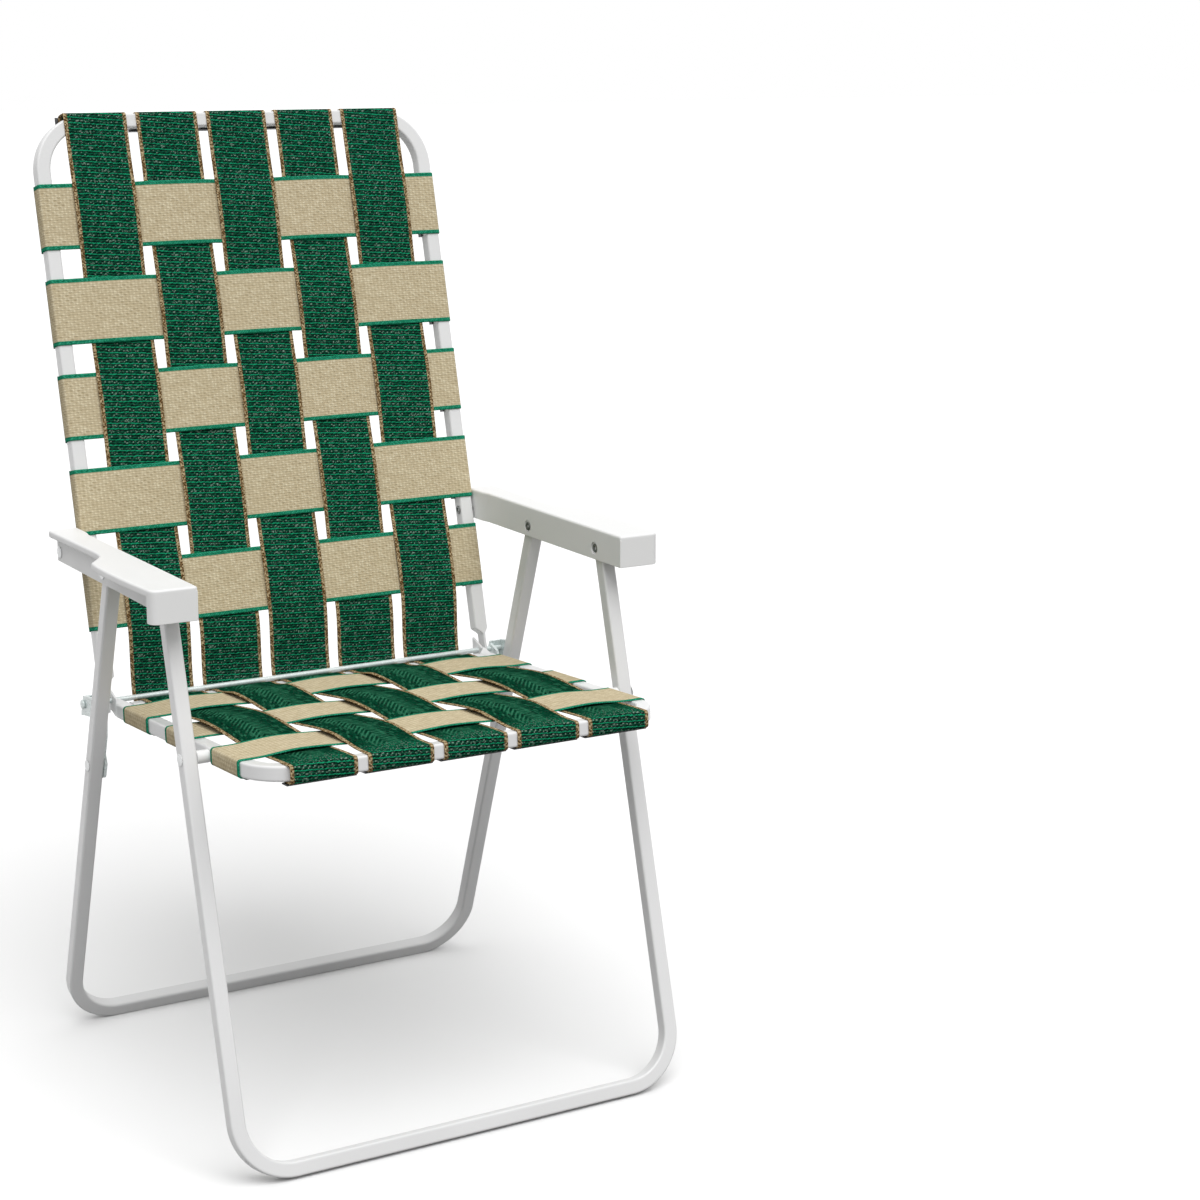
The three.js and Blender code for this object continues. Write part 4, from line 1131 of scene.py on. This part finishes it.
def add_clips():
    back_inner = BACK_HALF_WIDTH - HALF
    seat_inner = SEAT_HALF_WIDTH - HALF
    back_run = (BACK_BEND - back_inner, back_inner - BACK_BEND)
    seat_run = (SEAT_BEND - seat_inner, seat_inner - SEAT_BEND)
    for column, x in enumerate(COLUMNS):
        node = f"back_top_clip_{column + 1}"
        add_clip(node, "back", [node], (x - END_CLIP_WIDTH / 2, x + END_CLIP_WIDTH / 2), back_run,
                 CLIP_ROOM, lambda a, b, c: on_back(c, b, BACK_LENGTH - a))
        node = f"seat_front_clip_{column + 1}"
        add_clip(node, "seat", [node], (x - FRONT_CLIP_WIDTH / 2, x + FRONT_CLIP_WIDTH / 2), seat_run,
                 CLIP_ROOM, lambda a, b, c: on_seat(c, a - SEAT_LENGTH, -b), SEAT_CLIP_INSET)
    half = SIDE_CLIP_WIDTH / 2
    span = (-half, half)
    for side, sign in LEFT_RIGHT:
        for row, v in enumerate(BACK_ROWS):
            node = f"back_side_clip_{side}_{row + 1}"
            add_clip(node, "back", [node], span, (v + BACK_BEND - BACK_LENGTH, half), CLIP_ROOM,
                     lambda a, b, c: on_back(sign * (back_inner - a), b, v - c))
        for row, v in enumerate(SEAT_ROWS):
            add_clip(f"seat_side_clip_{side}_{row + 1}", "seat", (), span,
                     (v + SEAT_BEND - SEAT_LENGTH, half), SEAT_CLIP_ROOM,
                     lambda a, b, c: on_seat(sign * (seat_inner - a), c - v, -b), SEAT_CLIP_INSET)


# Armrests

def bezier(*controls, steps=12):
    """Points of a quadratic or cubic curve, without its first."""
    points = []
    for i in range(1, steps + 1):
        t = i / steps
        level = [Vector(control) for control in controls]
        while len(level) > 1:
            level = [a.lerp(b, t) for a, b in zip(level, level[1:])]
        points.append(tuple(level[0]))
    return points


def arm_outline():
    front = ARM_FRONT_Y
    corner = ARM_FRONT_CORNER
    middle = (ARM_SHOULDER_Y + ARM_WAIST_Y) / 2
    points = [(ARM_INNER_FRONT_X, front)]
    points += arc(ARM_FRONT_X - corner, front + corner, corner, -math.pi / 2, 0)
    widest = (ARM_WIDEST_X, ARM_WIDEST_Y)
    shoulder = (ARM_SHOULDER_X, ARM_SHOULDER_Y)
    points += bezier((ARM_FRONT_X, front + corner), (ARM_WIDEST_X, (front + ARM_WIDEST_Y) / 2), widest)
    points += bezier(widest, (ARM_WIDEST_X, (ARM_WIDEST_Y + ARM_SHOULDER_Y) / 2), shoulder, steps=6)
    points += bezier(shoulder, (ARM_WAIST_X + ARM_ROUND, middle), (ARM_WAIST_X, middle),
                     (ARM_WAIST_X, ARM_WAIST_Y), steps=16)
    points += [(ARM_REAR_OUTER_X, ARM_REAR_Y), (ARM_BACK_X, ARM_REAR_Y), (ARM_BACK_X, ARM_STEP_REAR_Y),
               (ARM_INNER_REAR_X, ARM_STEP_FRONT_Y)]
    return points


def skirt_outline():
    """The skirt round both leg tops, with the front wall and its short return in one line."""
    front = ARM_FRONT_Y + JOIN_INSET
    outer = ARM_FRONT_X - JOIN_INSET
    corner = ARM_FRONT_CORNER - JOIN_INSET
    cx = outer - corner
    cy = front + corner
    rear = ARM_REAR_Y - GAP
    return ([(ARM_INNER_FRONT_X + JOIN_INSET, front)] + arc(cx, cy, corner, -math.pi / 2, 0)
            + [(outer, ARM_FRONT_Y + ARM_RETURN), (outer - ARM_WALL, ARM_FRONT_Y + ARM_RETURN)]
            + arc(cx, cy, corner - ARM_WALL, 0, -math.pi / 2)
            + [(ARM_WALL_X, front + ARM_WALL), (ARM_WALL_X, rear), (ARM_BACK_X + JOIN_INSET, rear),
               (ARM_BACK_X + JOIN_INSET, ARM_STEP_REAR_Y),
               (ARM_INNER_REAR_X + JOIN_INSET, ARM_STEP_FRONT_Y)])


def add_armrests():
    bottom = ARM_TOP - ARM_HEIGHT
    plate_bottom = ARM_TOP - ARM_PLATE
    skirt_top = plate_bottom + ARM_PLATE / 2
    leg_inner = LEG_HALF_WIDTH - TUBE - GAP
    leg_outer = LEG_HALF_WIDTH + GAP
    channel = [(leg_inner, ARM_FRONT_Y + ARM_WALL), (leg_outer, ARM_FRONT_Y + ARM_WALL),
               (leg_outer, ARM_CHANNEL_REAR_Y), (leg_inner, ARM_CHANNEL_REAR_Y)]
    for side, sign in LEFT_RIGHT:
        def place(a, b, c):
            return Vector((sign * a, b, c))

        def across(a, b, c):
            return Vector((sign * c, a, b))
        node = f"armrest_{side}"
        plate = bevelled(prism(node, arm_outline(), plate_bottom, ARM_TOP, place), *ARM_PLATE_BEVEL)
        walls = bevelled(prism(node, skirt_outline(), bottom, skirt_top, place), *ARM_WALL_BEVEL)
        body = combined(plate, walls, "UNION")
        body = combined(body, prism(node, channel, bottom - CUT_PAST, plate_bottom, place), "DIFFERENCE")
        for pivot in (REAR_PIVOT, FRONT_PIVOT):
            pocket = prism(node, disc_outline(pivot.y, pivot.z, ARM_POCKET_RADIUS), BORE_FROM_X,
                           ARM_POCKET_FLOOR_X, across)
            body = combined(body, pocket, "DIFFERENCE")
        weighted(new_object("moulded_" + node, body, "white_plastic", "armrests", [node], SHARP_PLATE))


# Studio

FLOOR_REACH = 30
FLOOR_SEEN = 0.98
FLOOR_BOUNCE = 0.24
SKY_HORIZON = 0.26
SKY_TOP = 0.95
SUN_STRENGTH = 1.75
SUN_SOFTNESS = math.radians(50)
SUN_FROM = Vector((-0.1, -0.65, 1.0))


def seen_directly(shader):
    """One for a ray from the camera, a glossy ray or a transmitted ray, else zero."""
    path = shader.node("ShaderNodeLightPath").outputs
    seen = Value(shader, path["Is Camera Ray"])
    for kind in ("Is Glossy Ray", "Is Transmission Ray"):
        seen = seen.math("MAXIMUM", path[kind])
    return seen


def add_floor():
    corners = [(x * FLOOR_REACH, y * FLOOR_REACH, 0) for x, y in ((-1, -1), (1, -1), (1, 1), (-1, 1))]
    floor = in_scene("floor", mesh_of("floor", corners, [(0, 1, 2, 3)]))
    shader = Shader(bpy.data.materials.new("floor"))
    colour = shader.mix(seen_directly(shader), (FLOOR_BOUNCE,) * 3, (FLOOR_SEEN,) * 3)
    shader.set(Base_Color=colour, Roughness=1.0, Specular_IOR_Level=0.0)
    floor.data.materials.append(shader.owner)


def add_world():
    """A white backdrop, and a soft sky that is brighter overhead than at the horizon."""
    world = bpy.data.worlds.new("studio")
    bpy.context.scene.world = world
    shader = Shader(world, "Background")
    up = shader.parts(shader.node("ShaderNodeTexCoord").outputs["Generated"])[2]
    sky = up.ramp(0.0, 1.0, SKY_HORIZON, SKY_TOP, "LINEAR")
    shader.set(Color=(1, 1, 1), Strength=seen_directly(shader).ramp(0.0, 1.0, sky, 1.0))


def add_sun():
    data = bpy.data.lights.new("soft_key", "SUN")
    data.energy = SUN_STRENGTH
    data.angle = SUN_SOFTNESS
    light = in_scene("soft_key", data)
    light.rotation_mode = "QUATERNION"
    light.rotation_quaternion = SUN_FROM.to_track_quat("Z", "Y")


add_camera()
add_floor()
add_world()
add_sun()
bpy.context.scene.view_settings.view_transform = "Standard"
leg_frame("front_leg_frame", "front_legs", FRONT_LEG_PLACE, FRONT_PIVOT, FRONT_FOOT_Y)
leg_frame("rear_leg_frame", "rear_legs", REAR_LEG_PLACE, REAR_PIVOT, REAR_FOOT_Y)
back_frame()
seat_frame()
add_rod()
arm_head = ARM_WALL_X + GAP
leg_head = LEG_HALF_WIDTH + GAP
pocket_floor = ARM_POCKET_FLOOR_X - GAP
add_rivets("back_rivet", "armrests", BACK_PIVOT, arm_head, BACK_HALF_WIDTH - TUBE - GAP, RIVET_TAIL)
add_rivets("rear_leg_rivet", "armrests", REAR_PIVOT, arm_head, pocket_floor, RIVET_TAIL)
add_rivets("front_leg_rivet", "armrests", FRONT_PIVOT, arm_head, pocket_floor, RIVET_TAIL)
add_rivets("seat_rivet", "front_legs", SEAT_PIVOT, leg_head, SEAT_HALF_WIDTH - TUBE - GAP,
           SEAT_RIVET_TAIL)
add_rivets("link_rivet", "rear_legs", LINK_PIVOT, leg_head, LEG_HALF_WIDTH - TUBE, RIVET_SHANK)
add_spacers()
add_links()
add_armrests()
add_cross_straps("back", BACK_ROWS, BACK_HALF_WIDTH, BACK_CROWN, BACK_DIP, woven,
                 lambda s, h, v: on_back(s, -h, v), -BACK_PLACE.col[2].xyz)
add_cross_straps("seat", SEAT_ROWS, SEAT_HALF_WIDTH, SEAT_CROSS_CROWN, SEAT_CROSS_DIP, arched,
                 lambda s, h, v: on_seat(s, -v, h), -SEAT_PLACE.col[1].xyz)
add_long_straps()
add_clips()
